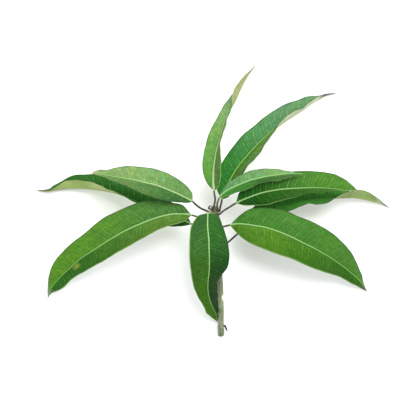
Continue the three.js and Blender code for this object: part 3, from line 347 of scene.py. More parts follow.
# ---- shape helpers ----
def spline(keys, rows):
    keys = np.asarray(keys, float); rows = np.asarray(rows, float)
    h = np.diff(keys)[:, None]; d = np.diff(rows, axis=0) / h
    slope = np.empty_like(rows)
    slope[0] = d[0]; slope[-1] = d[-1]
    slope[1:-1] = (d[:-1] * h[1:] + d[1:] * h[:-1]) / (h[1:] + h[:-1])

    def at(x):
        x = np.atleast_1d(np.asarray(x, float))
        i = np.clip(np.searchsorted(keys, x, side="right") - 1, 0, len(keys) - 2)
        hh = (keys[i + 1] - keys[i])[:, None]
        t = ((x - keys[i])[:, None]) / hh
        t2, t3 = t * t, t * t * t
        return (rows[i] * (2 * t3 - 3 * t2 + 1) + slope[i] * hh * (t3 - 2 * t2 + t)
                + rows[i + 1] * (3 * t2 - 2 * t3) + slope[i + 1] * hh * (t3 - t2))
    return at


def smooth(t):
    t = np.clip(t, 0, 1)
    return t * t * (3 - 2 * t)


def unit(v):
    return v / np.maximum(np.linalg.norm(v, axis=-1, keepdims=True), 1e-9)


def arc(P):
    return np.r_[0, np.cumsum(np.linalg.norm(np.diff(P, axis=0), axis=1))]


def new_mesh(name, co, quads, attrs=None, face_mat=None, mats=(), smooth_shade=True):
    me = bpy.data.meshes.new(name)
    co = np.asarray(co, np.float32)
    nq = len(quads)
    me.vertices.add(len(co)); me.vertices.foreach_set("co", co.ravel())
    sizes = np.array([len(q) for q in quads]) if not isinstance(quads, np.ndarray) else np.full(nq, quads.shape[1])
    flat = np.concatenate([np.asarray(q) for q in quads]) if not isinstance(quads, np.ndarray) else quads.ravel()
    me.loops.add(len(flat)); me.loops.foreach_set("vertex_index", flat.astype(np.int32))
    me.polygons.add(nq)
    starts = np.r_[0, np.cumsum(sizes)[:-1]]
    me.polygons.foreach_set("loop_start", starts.astype(np.int32))
    if face_mat is not None:
        me.polygons.foreach_set("material_index", np.asarray(face_mat, np.int32))
    me.update(calc_edges=True); me.validate()
    for key, val in (attrs or {}).items():
        a = me.attributes.new(key, "FLOAT_VECTOR", "POINT")
        a.data.foreach_set("vector", np.asarray(val, np.float32).ravel())
    for m in mats:
        me.materials.append(m)
    if smooth_shade:
        me.polygons.foreach_set("use_smooth", np.ones(nq, bool))
    ob = bpy.data.objects.new(name, me)
    bpy.context.scene.collection.objects.link(ob)
    return ob


# ---- vein pattern shared by the mesh and the materials ----
VEIN_PITCH = 8.2      # mm along the midrib
VEIN_SLANT = 0.30     # how far a side vein leans to the tip per mm across
VEIN_CURVE = 0.34     # extra lean near the margin


def vein_phase(along, across, half, seed):
    a = np.abs(across)
    u = a / np.maximum(half, 1.0)
    side = np.where(across < 0, 0.43, 0.0)
    wob = 0.16 * np.sin(along * 0.143 + seed * 1.7) + 0.06 * np.sin(along * 0.37 + seed * 2.9 + across * 0.11)
    return (along - a * VEIN_SLANT - half * VEIN_CURVE * u ** 3 * 0.5) / VEIN_PITCH + side + wob


# ---- leaf mesh ----
def leaf_mesh(name, d, seed, mats, nu=26):
    keys = [r[0] for r in d["blade"]]
    at = spline(keys, [r[1:] for r in d["blade"]])
    first = at(0)[0]
    # stalk: points from its foot to the blade
    pts = np.array(list(d["stalk"]) + [tuple(first[:3])], float)
    # dense centripetal path
    k = np.r_[0, np.cumsum(np.sqrt(np.linalg.norm(np.diff(pts, axis=0), axis=1)))]
    path = spline(k, pts)(np.linspace(0, k[-1], 160))
    # the visual stalk reaches into the twig's bark so that it grows out of it
    out = unit(pts[1] - pts[0])
    path = np.vstack([path[0] - out * 0.45, path])
    L = arc(path); stalk_len = L[-1]
    n_st = max(26, int(stalk_len / 0.55))
    sl = np.linspace(0, stalk_len, n_st)[:-1]
    C = np.stack([np.interp(sl, L, path[:, i]) for i in range(3)], 1)
    side0 = unit(first[6:9] - first[3:6])
    T = unit(np.gradient(C, axis=0))
    e = unit(side0 - (T @ side0)[:, None] * T)
    up = unit(np.cross(e, T))
    U = np.linspace(-1, 1, 2 * nu + 1)
    # finer columns by the midrib and the margin
    U = np.sign(U) * (0.55 * np.abs(U) + 0.45 * smooth(np.abs(U)))
    U[nu] = 0
    colx, coly = np.sin(U * np.pi / 2), np.maximum(0.02, np.cos(U * np.pi / 2))
    foot = 1 - smooth(sl / STALK_FOOT_LENGTH)
    r = STALK_RADIUS * 0.94 + (STALK_FOOT_RADIUS - STALK_RADIUS) * foot
    r = r * (1 + 0.035 * np.sin(sl * 2.1 + seed) * np.sin(sl * 0.9 + 2 * seed) + 0.02 * np.sin(sl * 5.3 + seed))
    st_mid = C[:, None, :] + e[:, None, :] * (colx[None, :] * r[:, None])[..., None]
    st_n = np.repeat(up[:, None, :], len(U), 1)
    st_h = coly[None, :] * r[:, None]
    # blade stations
    M0 = at(np.linspace(0, 1, 400))[:, :3]
    Lb = arc(M0); blade_len = Lb[-1]
    NS = 300
    q = np.linspace(0, 1, NS)
    q = 0.82 * q + 0.18 * smooth(q)
    S = np.interp(q * blade_len, Lb, np.linspace(0, 1, 400))
    v = at(S); M = v[:, :3]
    Tm = unit(np.gradient(M, axis=0))
    dists, halves = [], []
    ref = at([0.955])[0]
    for kx in (0, 1):
        E = v[:, 3 + 3 * kx:6 + 3 * kx]
        dd = E - M
        w = np.linalg.norm(dd, axis=1)
        rd = ref[3 + 3 * kx:6 + 3 * kx] - ref[:3]
        rd = unit(rd - (Tm @ rd)[:, None] * Tm)
        wmin = 0.12 + 0.4 * smooth((1 - S) / 0.02)
        small = np.clip((1.6 - w) / 1.2, 0, 1)[:, None]
        late = (S > 0.9)[:, None]
        dirv = unit(np.where(late, unit(dd) * (1 - small) + rd * small, dd))
        w = np.where(S > 0.9, np.maximum(w, wmin), w)
        # gentle wave of the margin, none at the ends
        env = smooth(S / 0.12) * smooth((1 - S) / 0.12)
        dd = dirv * w[:, None]
        N = np.cross(dd, Tm) if kx else np.cross(Tm, dd)
        N = unit(N)
        halves.append((dd, N, w)); dists.append(w)
    along = q * blade_len
    a = np.abs(U)
    P = np.empty((NS, len(U), 3)); across = np.empty((NS, len(U))); halfw = np.empty((NS, len(U)))
    for j, u in enumerate(U):
        dd, N, w = halves[0 if u < 0 else 1]
        bul = 2 * a[j] * (1 - a[j]) * BLADE_BULGE * w * smooth(S / 0.06)
        P[:, j] = M + dd * a[j] + N * bul[:, None]
        across[:, j] = u * w; halfw[:, j] = w
        # wavy margin, in the blade's normal
        env = smooth(S / 0.10) * smooth((1 - S) / 0.10)
        wave = (0.55 * np.sin(along * 0.185 + seed * 1.3 + (0 if u < 0 else 2.1))
                + 0.28 * np.sin(along * 0.41 + seed * 2.3 + (0 if u < 0 else 1.1)))
        P[:, j] += N * (env * wave * smooth((a[j] - 0.45) / 0.55) * 0.9)[:, None]
    if name.startswith("leaf_over_stem"):
        # this half's margin leans on the twig
        y = P[..., 1]
        P[..., 0] += 0.95 * smooth((-y - 96) / 9) * smooth((137 + y) / 6) * smooth((-U - 0.55) / 0.45)[None, :]
    # quilting between the side veins and the fine unevenness of the blade
    G = np.repeat(along[:, None], len(U), 1)
    ph = vein_phase(G, across, halfw, seed)
    f = np.abs(ph - np.floor(ph) - 0.5) * 2          # 1 on a vein, 0 between
    env2 = (smooth(S / 0.07) * smooth((1 - S) / 0.07))[:, None]
    quilt = -0.20 * (f ** 5) + 0.10 * (1 - f ** 2)
    quilt = quilt * env2 * smooth((np.abs(across) - 0.8) / 2.0) * smooth((1 - a) / 0.25)[None, :]
    along_t = unit(np.gradient(P, axis=0)); across_t = np.gradient(P, axis=1)
    # one sided at the crease, then joined
    Nn = unit(np.cross(across_t, along_t))
    P = P + Nn * quilt[..., None]
    along_t = unit(np.gradient(P, axis=0)); across_t = np.gradient(P, axis=1)
    Nn = unit(np.cross(across_t, along_t))
    b = smooth(S / 0.045)[:, None]
    rib_w = 0.72 * (1 - S) ** 0.8 + 0.22              # half width of the midrib, mm
    rib = np.exp(-(across / rib_w[:, None]) ** 2 * 1.2)
    groove = np.exp(-((np.abs(across) - rib_w[:, None] * 1.75) / (rib_w[:, None] * 0.5)) ** 2)
    ribT = 0.62 * (1 - S) + 0.16
    ribB = 1.25 * (1 - S) ** 0.8 + 0.25
    t0 = (0.27 - 0.12 * smooth((a - 0.5) / 0.5))[None, :] + 0 * S[:, None]
    top = t0 + ribT[:, None] * rib - 0.06 * groove
    bot = t0 + ribB[:, None] * rib + 0.13 * (f ** 6) * env2 * smooth((1 - a) / 0.25)[None, :] * (1 - rib)
    stalk_h = coly[None, :] * (STALK_RADIUS * 0.94)
    top = stalk_h * (1 - b) + top * b
    bot = stalk_h * (1 - b) + bot * b
    # thin out to the point
    endt = (0.35 + 0.65 * smooth((1 - S) / 0.03))[:, None]
    top, bot = top * endt, bot * endt
    mid = np.vstack([st_mid, P]); nn = np.vstack([st_n, Nn])
    hT = np.vstack([st_h, top]); hB = np.vstack([st_h, bot])
    TOP = mid + nn * hT[..., None]; BOT = mid - nn * hB[..., None]
    R, K = TOP.shape[:2]
    co = np.concatenate([TOP.reshape(-1, 3), BOT.reshape(-1, 3)])
    i, j = np.meshgrid(np.arange(R - 1), np.arange(K - 1), indexing="ij")
    A = (i * K + j).ravel()
    ft = np.stack([A, A + 1, A + K + 1, A + K], 1)
    fb = ft[:, ::-1] + R * K
    ii = np.arange(R - 1) * K
    rimL = np.stack([ii, ii + K, ii + K + R * K, ii + R * K], 1)
    jj = ii + K - 1
    rimR = np.stack([jj, jj + R * K, jj + K + R * K, jj + K], 1)
    cols = np.arange(K - 1)
    c0 = np.stack([cols, cols + R * K, cols + 1 + R * K, cols + 1], 1)
    base = (R - 1) * K
    c1 = np.stack([base + cols, base + cols + 1, base + cols + 1 + R * K, base + cols + R * K], 1)
    quads = np.concatenate([ft, fb, rimL, rimR, c0, c1])
    n_st1 = len(sl)
    rowt = np.repeat(np.arange(R - 1), K - 1)
    # material: 0 upper face, 1 underside, 2 stalk
    mt = np.where(rowt < n_st1 - 1, 2, 0); mb = np.where(rowt < n_st1 - 1, 2, 1)
    rr = np.where(np.arange(R - 1) < n_st1 - 1, 2, 0)
    fm = np.concatenate([mt, mb, rr, rr, np.full(K - 1, 2), np.full(K - 1, 1)])
    al = np.r_[sl - stalk_len, along]
    s_all = np.r_[(sl - stalk_len) / 40.0, S]
    ac = np.vstack([colx[None, :] * r[:, None], across]); hw = np.vstack([np.repeat(r[:, None], K, 1), halfw])
    lf = np.stack([np.repeat(al[:, None], K, 1), ac, np.repeat(U[None, :], R, 0)], -1).reshape(-1, 3)
    lg = np.stack([np.repeat(s_all[:, None], K, 1), hw, np.vstack([np.zeros((n_st1, K)), f])], -1).reshape(-1, 3)
    lf = np.concatenate([lf, lf]); lg = np.concatenate([lg, lg])
    co = (co - np.array(ORIGIN)) / 1000.0
    lo, hi = np.array(CAD_BOX[0]) + 2e-5, np.array(CAD_BOX[1]) - 2e-5
    co = np.clip(co, lo, hi)
    # faces point out: the solid's signed volume is positive
    tri = np.concatenate([quads[:, [0, 1, 2]], quads[:, [0, 2, 3]]])
    if np.einsum("ij,ij->i", co[tri[:, 0]], np.cross(co[tri[:, 1]], co[tri[:, 2]])).sum() < 0:
        quads = quads[:, ::-1]
    ob = new_mesh(name, co, quads, {"lf": lf, "lg": lg}, fm, mats)
    return ob


# ---- node helpers ----
class Net:
    def __init__(self, name):
        self.m = bpy.data.materials.new(name)
        self.m.use_nodes = True
        self.t = self.m.node_tree
        self.t.nodes.clear()
        self.out = self.t.nodes.new("ShaderNodeOutputMaterial")

    def node(self, kind, **kw):
        n = self.t.nodes.new(kind)
        for k, v in kw.items():
            setattr(n, k, v)
        return n

    def put(self, sock, v):
        if isinstance(v, bpy.types.NodeSocket):
            self.t.links.new(v, sock)
        elif v is not None:
            sock.default_value = v

    def math(self, op, a, b=None, c=None, clamp=False):
        n = self.node("ShaderNodeMath", operation=op, use_clamp=clamp)
        for i, v in enumerate((a, b, c)):
            if v is not None:
                self.put(n.inputs[i], v)
        return n.outputs[0]

    def attr(self, name):
        n = self.node("ShaderNodeAttribute", attribute_name=name)
        s = self.node("ShaderNodeSeparateXYZ")
        self.put(s.inputs[0], n.outputs["Vector"])
        return n.outputs["Vector"], s.outputs[0], s.outputs[1], s.outputs[2]

    def vec(self, x, y, z):
        n = self.node("ShaderNodeCombineXYZ")
        for i, v in enumerate((x, y, z)):
            self.put(n.inputs[i], v)
        return n.outputs[0]

    def noise(self, vec, scale, detail=3.0, rough=0.55, dist=0.0):
        n = self.node("ShaderNodeTexNoise")
        self.put(n.inputs["Vector"], vec)
        n.inputs["Scale"].default_value = scale
        n.inputs["Detail"].default_value = detail
        n.inputs["Roughness"].default_value = rough
        n.inputs["Distortion"].default_value = dist
        return n.outputs["Fac"]

    def mix(self, fac, a, b, mode="MIX"):
        n = self.node("ShaderNodeMix", data_type="RGBA", blend_type=mode)
        self.put(n.inputs[0], fac)
        self.put(n.inputs[6], a); self.put(n.inputs[7], b)
        return n.outputs[2]

    def step(self, v, lo, hi):
        n = self.node("ShaderNodeMapRange", interpolation_type="SMOOTHSTEP")
        self.put(n.inputs[0], v)
        self.put(n.inputs[1], lo); self.put(n.inputs[2], hi)
        n.inputs[3].default_value = 0.0; n.inputs[4].default_value = 1.0
        return n.outputs[0]


def leaf_coords(k):
    v1, along, across, u = k.attr("lf")
    v2, s, half, f = k.attr("lg")
    return along, across, u, s, half, f


def vein_nodes(k, along, across, half, seed):
    """the same phase as vein_phase(), in nodes"""
    a = k.math("ABSOLUTE", across)
    u = k.math("DIVIDE", a, k.math("MAXIMUM", half, 1.0))
    side = k.math("MULTIPLY", k.math("LESS_THAN", across, 0.0), 0.43)
    w1 = k.math("MULTIPLY", k.math("SINE", k.math("MULTIPLY_ADD", along, 0.143, seed * 1.7)), 0.16)
    w2 = k.math("MULTIPLY", k.math("SINE", k.math("ADD", k.math("MULTIPLY_ADD", along, 0.37, seed * 2.9), k.math("MULTIPLY", across, 0.11))), 0.06)
    lean = k.math("ADD", k.math("MULTIPLY", a, VEIN_SLANT), k.math("MULTIPLY", k.math("MULTIPLY", half, VEIN_CURVE * 0.5), k.math("POWER", u, 3.0)))
    ph = k.math("ADD", k.math("ADD", k.math("DIVIDE", k.math("SUBTRACT", along, lean), VEIN_PITCH), side), k.math("ADD", w1, w2))
    fr = k.math("FRACT", ph)
    dist = k.math("SUBTRACT", 0.5, k.math("ABSOLUTE", k.math("SUBTRACT", fr, 0.5)))   # 0 on the vein
    return k.math("MULTIPLY", dist, VEIN_PITCH), u, ph                                   # mm from the vein


def leaf_upper(name, look):
    k = Net(name + "_upper"); seed = look["seed"]
    along, across, u, s, half, f = leaf_coords(k)
    dist, au, ph = vein_nodes(k, along, across, half, seed)
    p = k.vec(along, across, seed * 13.0)
    # base colour: two halves, stalk end to tip end
    g = GAIN
    sgrad = k.step(s, 0.05, 0.85)
    left = k.mix(sgrad, lin(look["L0"], g), lin(look["L1"], g))
    right = k.mix(sgrad, lin(look["R0"], g), lin(look["R1"], g))
    col = k.mix(k.step(across, -0.8, 0.8), left, right)
    # broad mottling, and darker and yellower patches
    n1 = k.noise(p, 0.045, 3.0, 0.55)
    n2 = k.noise(k.vec(k.math("MULTIPLY", along, 0.35), across, seed * 7.0), 0.16, 4.0, 0.6, 0.4)
    n3 = k.noise(p, 1.6, 3.0, 0.6)
    col = k.mix(k.math("MULTIPLY", k.step(n1, 0.46, 0.64), 0.50), col, k.mix(1.0, col, (1.22, 1.12, 0.72, 1), "MULTIPLY"))
    col = k.mix(k.math("MULTIPLY", k.step(n2, 0.47, 0.66), 0.55), col, k.mix(1.0, col, (0.66, 0.78, 0.74, 1), "MULTIPLY"))
    n4 = k.noise(k.vec(k.math("MULTIPLY", along, 0.7), across, seed * 5.0 + 2.0), 0.36, 3.0, 0.62, 0.3)
    col = k.mix(k.math("MULTIPLY", k.step(n4, 0.42, 0.66), 0.42), col, k.mix(1.0, col, (0.72, 0.83, 0.70, 1), "MULTIPLY"))
    n5 = k.noise(k.vec(along, across, seed * 9.0 + 5.0), 0.075, 3.0, 0.6, 0.5)
    col = k.mix(k.math("MULTIPLY", k.step(n5, 0.50, 0.66), 0.35), col, k.mix(1.0, col, (0.86, 1.12, 1.35, 1), "MULTIPLY"))
    col = k.mix(k.math("MULTIPLY", k.step(n3, 0.35, 0.75), 0.26), col, k.mix(1.0, col, (1.25, 1.2, 1.15, 1), "MULTIPLY"))
    n6 = k.noise(k.vec(k.math("MULTIPLY", along, 0.8), across, seed * 4.0 + 9.0), 0.24, 6.0, 0.72, 0.2)
    v6 = k.step(n6, 0.30, 0.70)
    col = k.mix(v6, k.mix(1.0, col, (0.70, 0.79, 0.66, 1), "MULTIPLY"), k.mix(1.0, col, (1.28, 1.17, 1.22, 1), "MULTIPLY"))
    # darker panel near each side vein, lighter vein line
    shade = k.math("SUBTRACT", 1.0, k.step(dist, 0.5, 2.6))
    col = k.mix(k.math("MULTIPLY", shade, 0.16), col, k.mix(1.0, col, (0.6, 0.7, 0.6, 1), "MULTIPLY"))
    fade = k.math("SUBTRACT", 1.0, k.step(au, 0.62, 1.0))
    wid = k.math("MULTIPLY_ADD", fade, 0.10, 0.10)
    wid = k.math("MULTIPLY", wid, look.get("vein_w", 1.0))
    line = k.math("SUBTRACT", 1.0, k.step(k.math("DIVIDE", dist, wid), 0.55, 1.8))
    # fainter veins between the main ones
    half_d = k.math("MULTIPLY", k.math("ABSOLUTE", k.math("SUBTRACT", k.math("FRACT", k.math("MULTIPLY", ph, 2.0)), 0.5)), VEIN_PITCH)
    half_d = k.math("SUBTRACT", VEIN_PITCH * 0.25, k.math("SUBTRACT", k.math("MULTIPLY", half_d, 0.5), 0.0))
    line2 = k.math("MULTIPLY", k.math("SUBTRACT", 1.0, k.step(k.math("ABSOLUTE", half_d), 0.08, 0.36)), 0.34)
    line = k.math("MAXIMUM", line, line2)
    broken = k.step(k.noise(p, 0.22, 3.0), 0.38, 0.62)
    line = k.math("MULTIPLY", k.math("MULTIPLY", line, k.math("MULTIPLY_ADD", fade, 0.8, 0.2)), k.math("MULTIPLY_ADD", broken, 0.75, 0.25))
    pale = k.mix(0.5, k.mix(1.0, col, (1.9, 1.75, 1.7, 1), "MULTIPLY"), lin((150, 205, 120)))
    col = k.mix(k.math("MULTIPLY", line, min(1.0, look["vein"] * 1.35)), col, pale)
    # net of small veins
    vor = k.node("ShaderNodeTexVoronoi", feature="DISTANCE_TO_EDGE")
    k.put(vor.inputs["Vector"], k.vec(k.math("MULTIPLY", along, 0.8), across, seed * 3.0)); vor.inputs["Scale"].default_value = 0.62
    net = k.math("SUBTRACT", 1.0, k.step(vor.outputs["Distance"], 0.02, 0.14))
    col = k.mix(k.math("MULTIPLY", net, 0.13), col, pale)
    # margin: thin darker then brown line
    edge = k.step(k.math("SUBTRACT", half, k.math("ABSOLUTE", across)), 1.5, 0.25)
    col = k.mix(k.math("MULTIPLY", edge, 0.75), col, lin((38, 62, 30)))
    rim = k.step(k.math("SUBTRACT", half, k.math("ABSOLUTE", across)), 0.55, 0.10)
    brk = k.step(k.noise(p, 0.12, 3.0), 0.35, 0.6)
    col = k.mix(k.math("MULTIPLY", rim, k.math("MULTIPLY_ADD", brk, 0.45, 0.5)), col, lin((84, 74, 58)))
    # painted highlight: a pale line along the margin on one side, standing for the lit edge of the leaf
    if look.get("rim_highlight_side"):
        on = k.step(k.math("MULTIPLY", across, float(look["rim_highlight_side"])), 1.0, 3.0)
        rim_highlight_mask = k.step(k.math("SUBTRACT", half, k.math("ABSOLUTE", across)), 1.45, 0.75)
        col = k.mix(k.math("MULTIPLY", k.math("MULTIPLY", rim_highlight_mask, on), 0.85), col, lin(look.get("rim_c", (164, 206, 118))))
    # the point dries
    tip = k.step(k.math("ADD", s, k.math("MULTIPLY", k.math("SUBTRACT", n2, 0.5), 0.03)), look["tip_at"] - 0.02, look["tip_at"] + 0.045)
    col = k.mix(tip, col, lin(look["tip"]))
    # a few specks
    sp = k.node("ShaderNodeTexVoronoi", feature="F1")
    k.put(sp.inputs["Vector"], p); sp.inputs["Scale"].default_value = 0.105
    spd = k.math("SUBTRACT", 1.0, k.step(sp.outputs["Distance"], 0.045, 0.085))
    col = k.mix(k.math("MULTIPLY", spd, 0.45), col, lin((96, 88, 50)))
    if "spot" in look:
        sx, sy, sr = look["spot"]
        dx = k.math("SUBTRACT", s, sx); dy = k.math("SUBTRACT", u, sy)
        dd = k.math("SQRT", k.math("ADD", k.math("POWER", k.math("DIVIDE", dx, sr), 2.0), k.math("POWER", k.math("DIVIDE", dy, sr * 7), 2.0)))
        dd = k.math("ADD", dd, k.math("MULTIPLY", k.math("SUBTRACT", k.noise(p, 0.28, 3.0), 0.5), 1.3))
        col = k.mix(k.math("MULTIPLY", k.math("SUBTRACT", 1.0, k.step(dd, 0.1, 1.7)), 0.85), col, lin((158, 178, 70)))
    # midrib
    rw = k.math("MULTIPLY_ADD", k.math("POWER", k.math("MAXIMUM", k.math("SUBTRACT", 1.0, s), 0.0), 0.8), 0.52, 0.20)
    rw = k.math("MULTIPLY", rw, look.get("rib_w", 1.0))
    ra = k.math("DIVIDE", k.math("ABSOLUTE", across), rw)
    ribm = k.math("SUBTRACT", 1.0, k.step(ra, 0.75, 1.45))
    ribc = k.mix(k.step(s, 0.3, 1.0), lin(look.get("rib_c", (182, 230, 150))), lin((146, 204, 104)))
    ribc = k.mix(k.math("MULTIPLY", k.noise(k.vec(k.math("MULTIPLY", along, 0.3), across, 1.0), 0.9, 3.0), 0.35), ribc, lin((128, 176, 84)))
    # painted shade: a darker band along both sides of the midrib, beside the raised rib where the mesh has a groove
    rib_side_shade = k.math("MULTIPLY", k.step(ra, 1.0, 1.5), k.math("SUBTRACT", 1.0, k.step(ra, 1.7, 3.2)))
    col = k.mix(k.math("MULTIPLY", rib_side_shade, 0.30), col, k.mix(1.0, col, (0.45, 0.6, 0.45, 1), "MULTIPLY"))
    col = k.mix(k.math("MULTIPLY", ribm, look.get("rib", 0.92)), col, ribc)
    # bump: side veins, net and grain
    hgt = k.math("ADD", k.math("MULTIPLY", line, 0.35), k.math("MULTIPLY", net, 0.10))
    hgt = k.math("ADD", hgt, k.math("MULTIPLY", n3, 0.35))
    hgt = k.math("ADD", hgt, k.math("MULTIPLY", k.noise(p, 0.5, 2.0), 0.6))
    bump = k.node("ShaderNodeBump"); bump.inputs["Strength"].default_value = 0.5; bump.inputs["Distance"].default_value = 0.00045
    k.put(bump.inputs["Height"], hgt)
    rough = k.math("ADD", look.get("rough", 0.46), k.math("MULTIPLY", n3, 0.16))
    rough = k.math("ADD", rough, k.math("MULTIPLY", ribm, 0.08))
    b = k.node("ShaderNodeBsdfPrincipled")
    k.put(b.inputs["Base Color"], col); k.put(b.inputs["Roughness"], rough); k.put(b.inputs["Normal"], bump.outputs[0])
    b.inputs["Specular IOR Level"].default_value = look.get("spec", 0.09)
    b.inputs["Subsurface Weight"].default_value = 0.0
    k.t.links.new(b.outputs[0], k.out.inputs["Surface"])
    return k.m


def leaf_lower(name, look):
    k = Net(name + "_under"); seed = look["seed"]
    along, across, u, s, half, f = leaf_coords(k)
    dist, au, ph = vein_nodes(k, along, across, half, seed)
    p = k.vec(along, across, seed * 11.0 + 4.0)
    base = k.mix(k.step(s, look.get("pale_at", 0.80), look.get("pale_at", 0.80) + 0.1), lin(look["under"]), lin(look.get("under2", look["under"])))
    col = k.mix(k.step(k.noise(p, 0.05, 3.0), 0.38, 0.66), k.mix(1.0, base, (0.84, 0.94, 0.76, 1), "MULTIPLY"), k.mix(1.0, base, (1.08, 1.04, 1.04, 1), "MULTIPLY"))
    col = k.mix(k.math("MULTIPLY", k.step(k.noise(p, 0.22, 4.0), 0.5, 0.75), 0.30), col, k.mix(1.0, base, (0.72, 0.80, 0.66, 1), "MULTIPLY"))
    line = k.math("SUBTRACT", 1.0, k.step(dist, 0.18, 0.62))
    col = k.mix(k.math("MULTIPLY", line, 0.42), col, lin((206, 214, 150)))
    vor = k.node("ShaderNodeTexVoronoi", feature="DISTANCE_TO_EDGE")
    k.put(vor.inputs["Vector"], p); vor.inputs["Scale"].default_value = 0.62
    net = k.math("SUBTRACT", 1.0, k.step(vor.outputs["Distance"], 0.02, 0.14))
    col = k.mix(k.math("MULTIPLY", net, 0.18), col, lin((126, 150, 84)))
    edge = k.step(k.math("SUBTRACT", half, k.math("ABSOLUTE", across)), 0.6, 0.12)
    col = k.mix(k.math("MULTIPLY", edge, 0.5), col, lin((118, 108, 74)))
    tip = k.step(s, look["tip_at"] - 0.02, look["tip_at"] + 0.05)
    col = k.mix(tip, col, lin(look["tip"]))
    rw = k.math("MULTIPLY_ADD", k.math("POWER", k.math("MAXIMUM", k.math("SUBTRACT", 1.0, s), 0.0), 0.8), 1.15, 0.3)
    ribm = k.math("SUBTRACT", 1.0, k.step(k.math("DIVIDE", k.math("ABSOLUTE", across), rw), 0.8, 1.5))
    col = k.mix(k.math("MULTIPLY", ribm, 0.85), col, k.mix(k.step(s, 0.5, 1.0), lin((196, 208, 138)), lin((170, 172, 116))))
    n3 = k.noise(p, 1.6, 3.0)
    bump = k.node("ShaderNodeBump"); bump.inputs["Strength"].default_value = 0.4; bump.inputs["Distance"].default_value = 0.0004
    k.put(bump.inputs["Height"], k.math("ADD", k.math("MULTIPLY", line, 0.6), k.math("ADD", k.math("MULTIPLY", net, 0.3), k.math("MULTIPLY", n3, 0.3))))
    b = k.node("ShaderNodeBsdfPrincipled")
    k.put(b.inputs["Base Color"], col); k.put(b.inputs["Roughness"], k.math("MULTIPLY_ADD", n3, 0.15, 0.52)); k.put(b.inputs["Normal"], bump.outputs[0])
    b.inputs["Specular IOR Level"].default_value = 0.22
    k.t.links.new(b.outputs[0], k.out.inputs["Surface"])
    return k.m


def stalk_mat(name, c0, c1, seed):
    k = Net(name)
    v1, along, across, u = k.attr("lf")
    v2, s, half, f = k.attr("lg")
    p = k.vec(k.math("MULTIPLY", along, 0.5), k.math("MULTIPLY", across, 1.4), seed * 5.0)
    # brown olive at the foot, greener towards the blade
    t = k.step(along, -9.0, 0.5)
    col = k.mix(t, lin(c0), lin(c1))
    n = k.noise(p, 0.9, 4.0, 0.6)
    col = k.mix(k.math("MULTIPLY", k.step(n, 0.4, 0.7), 0.55), col, k.mix(1.0, col, (0.5, 0.48, 0.42, 1), "MULTIPLY"))
    n2 = k.noise(k.vec(along, k.math("MULTIPLY", across, 3.0), seed), 2.2, 2.0)
    col = k.mix(k.math("MULTIPLY", k.step(n2, 0.55, 0.8), 0.35), col, k.mix(1.0, col, (1.8, 1.7, 1.4, 1), "MULTIPLY"))
    bump = k.node("ShaderNodeBump"); bump.inputs["Strength"].default_value = 0.5; bump.inputs["Distance"].default_value = 0.0004
    k.put(bump.inputs["Height"], k.math("ADD", n, n2))
    b = k.node("ShaderNodeBsdfPrincipled")
    k.put(b.inputs["Base Color"], col); k.put(b.inputs["Roughness"], k.math("MULTIPLY_ADD", n, 0.2, 0.45)); k.put(b.inputs["Normal"], bump.outputs[0])
    b.inputs["Specular IOR Level"].default_value = 0.4
    k.t.links.new(b.outputs[0], k.out.inputs["Surface"])
    return k.m


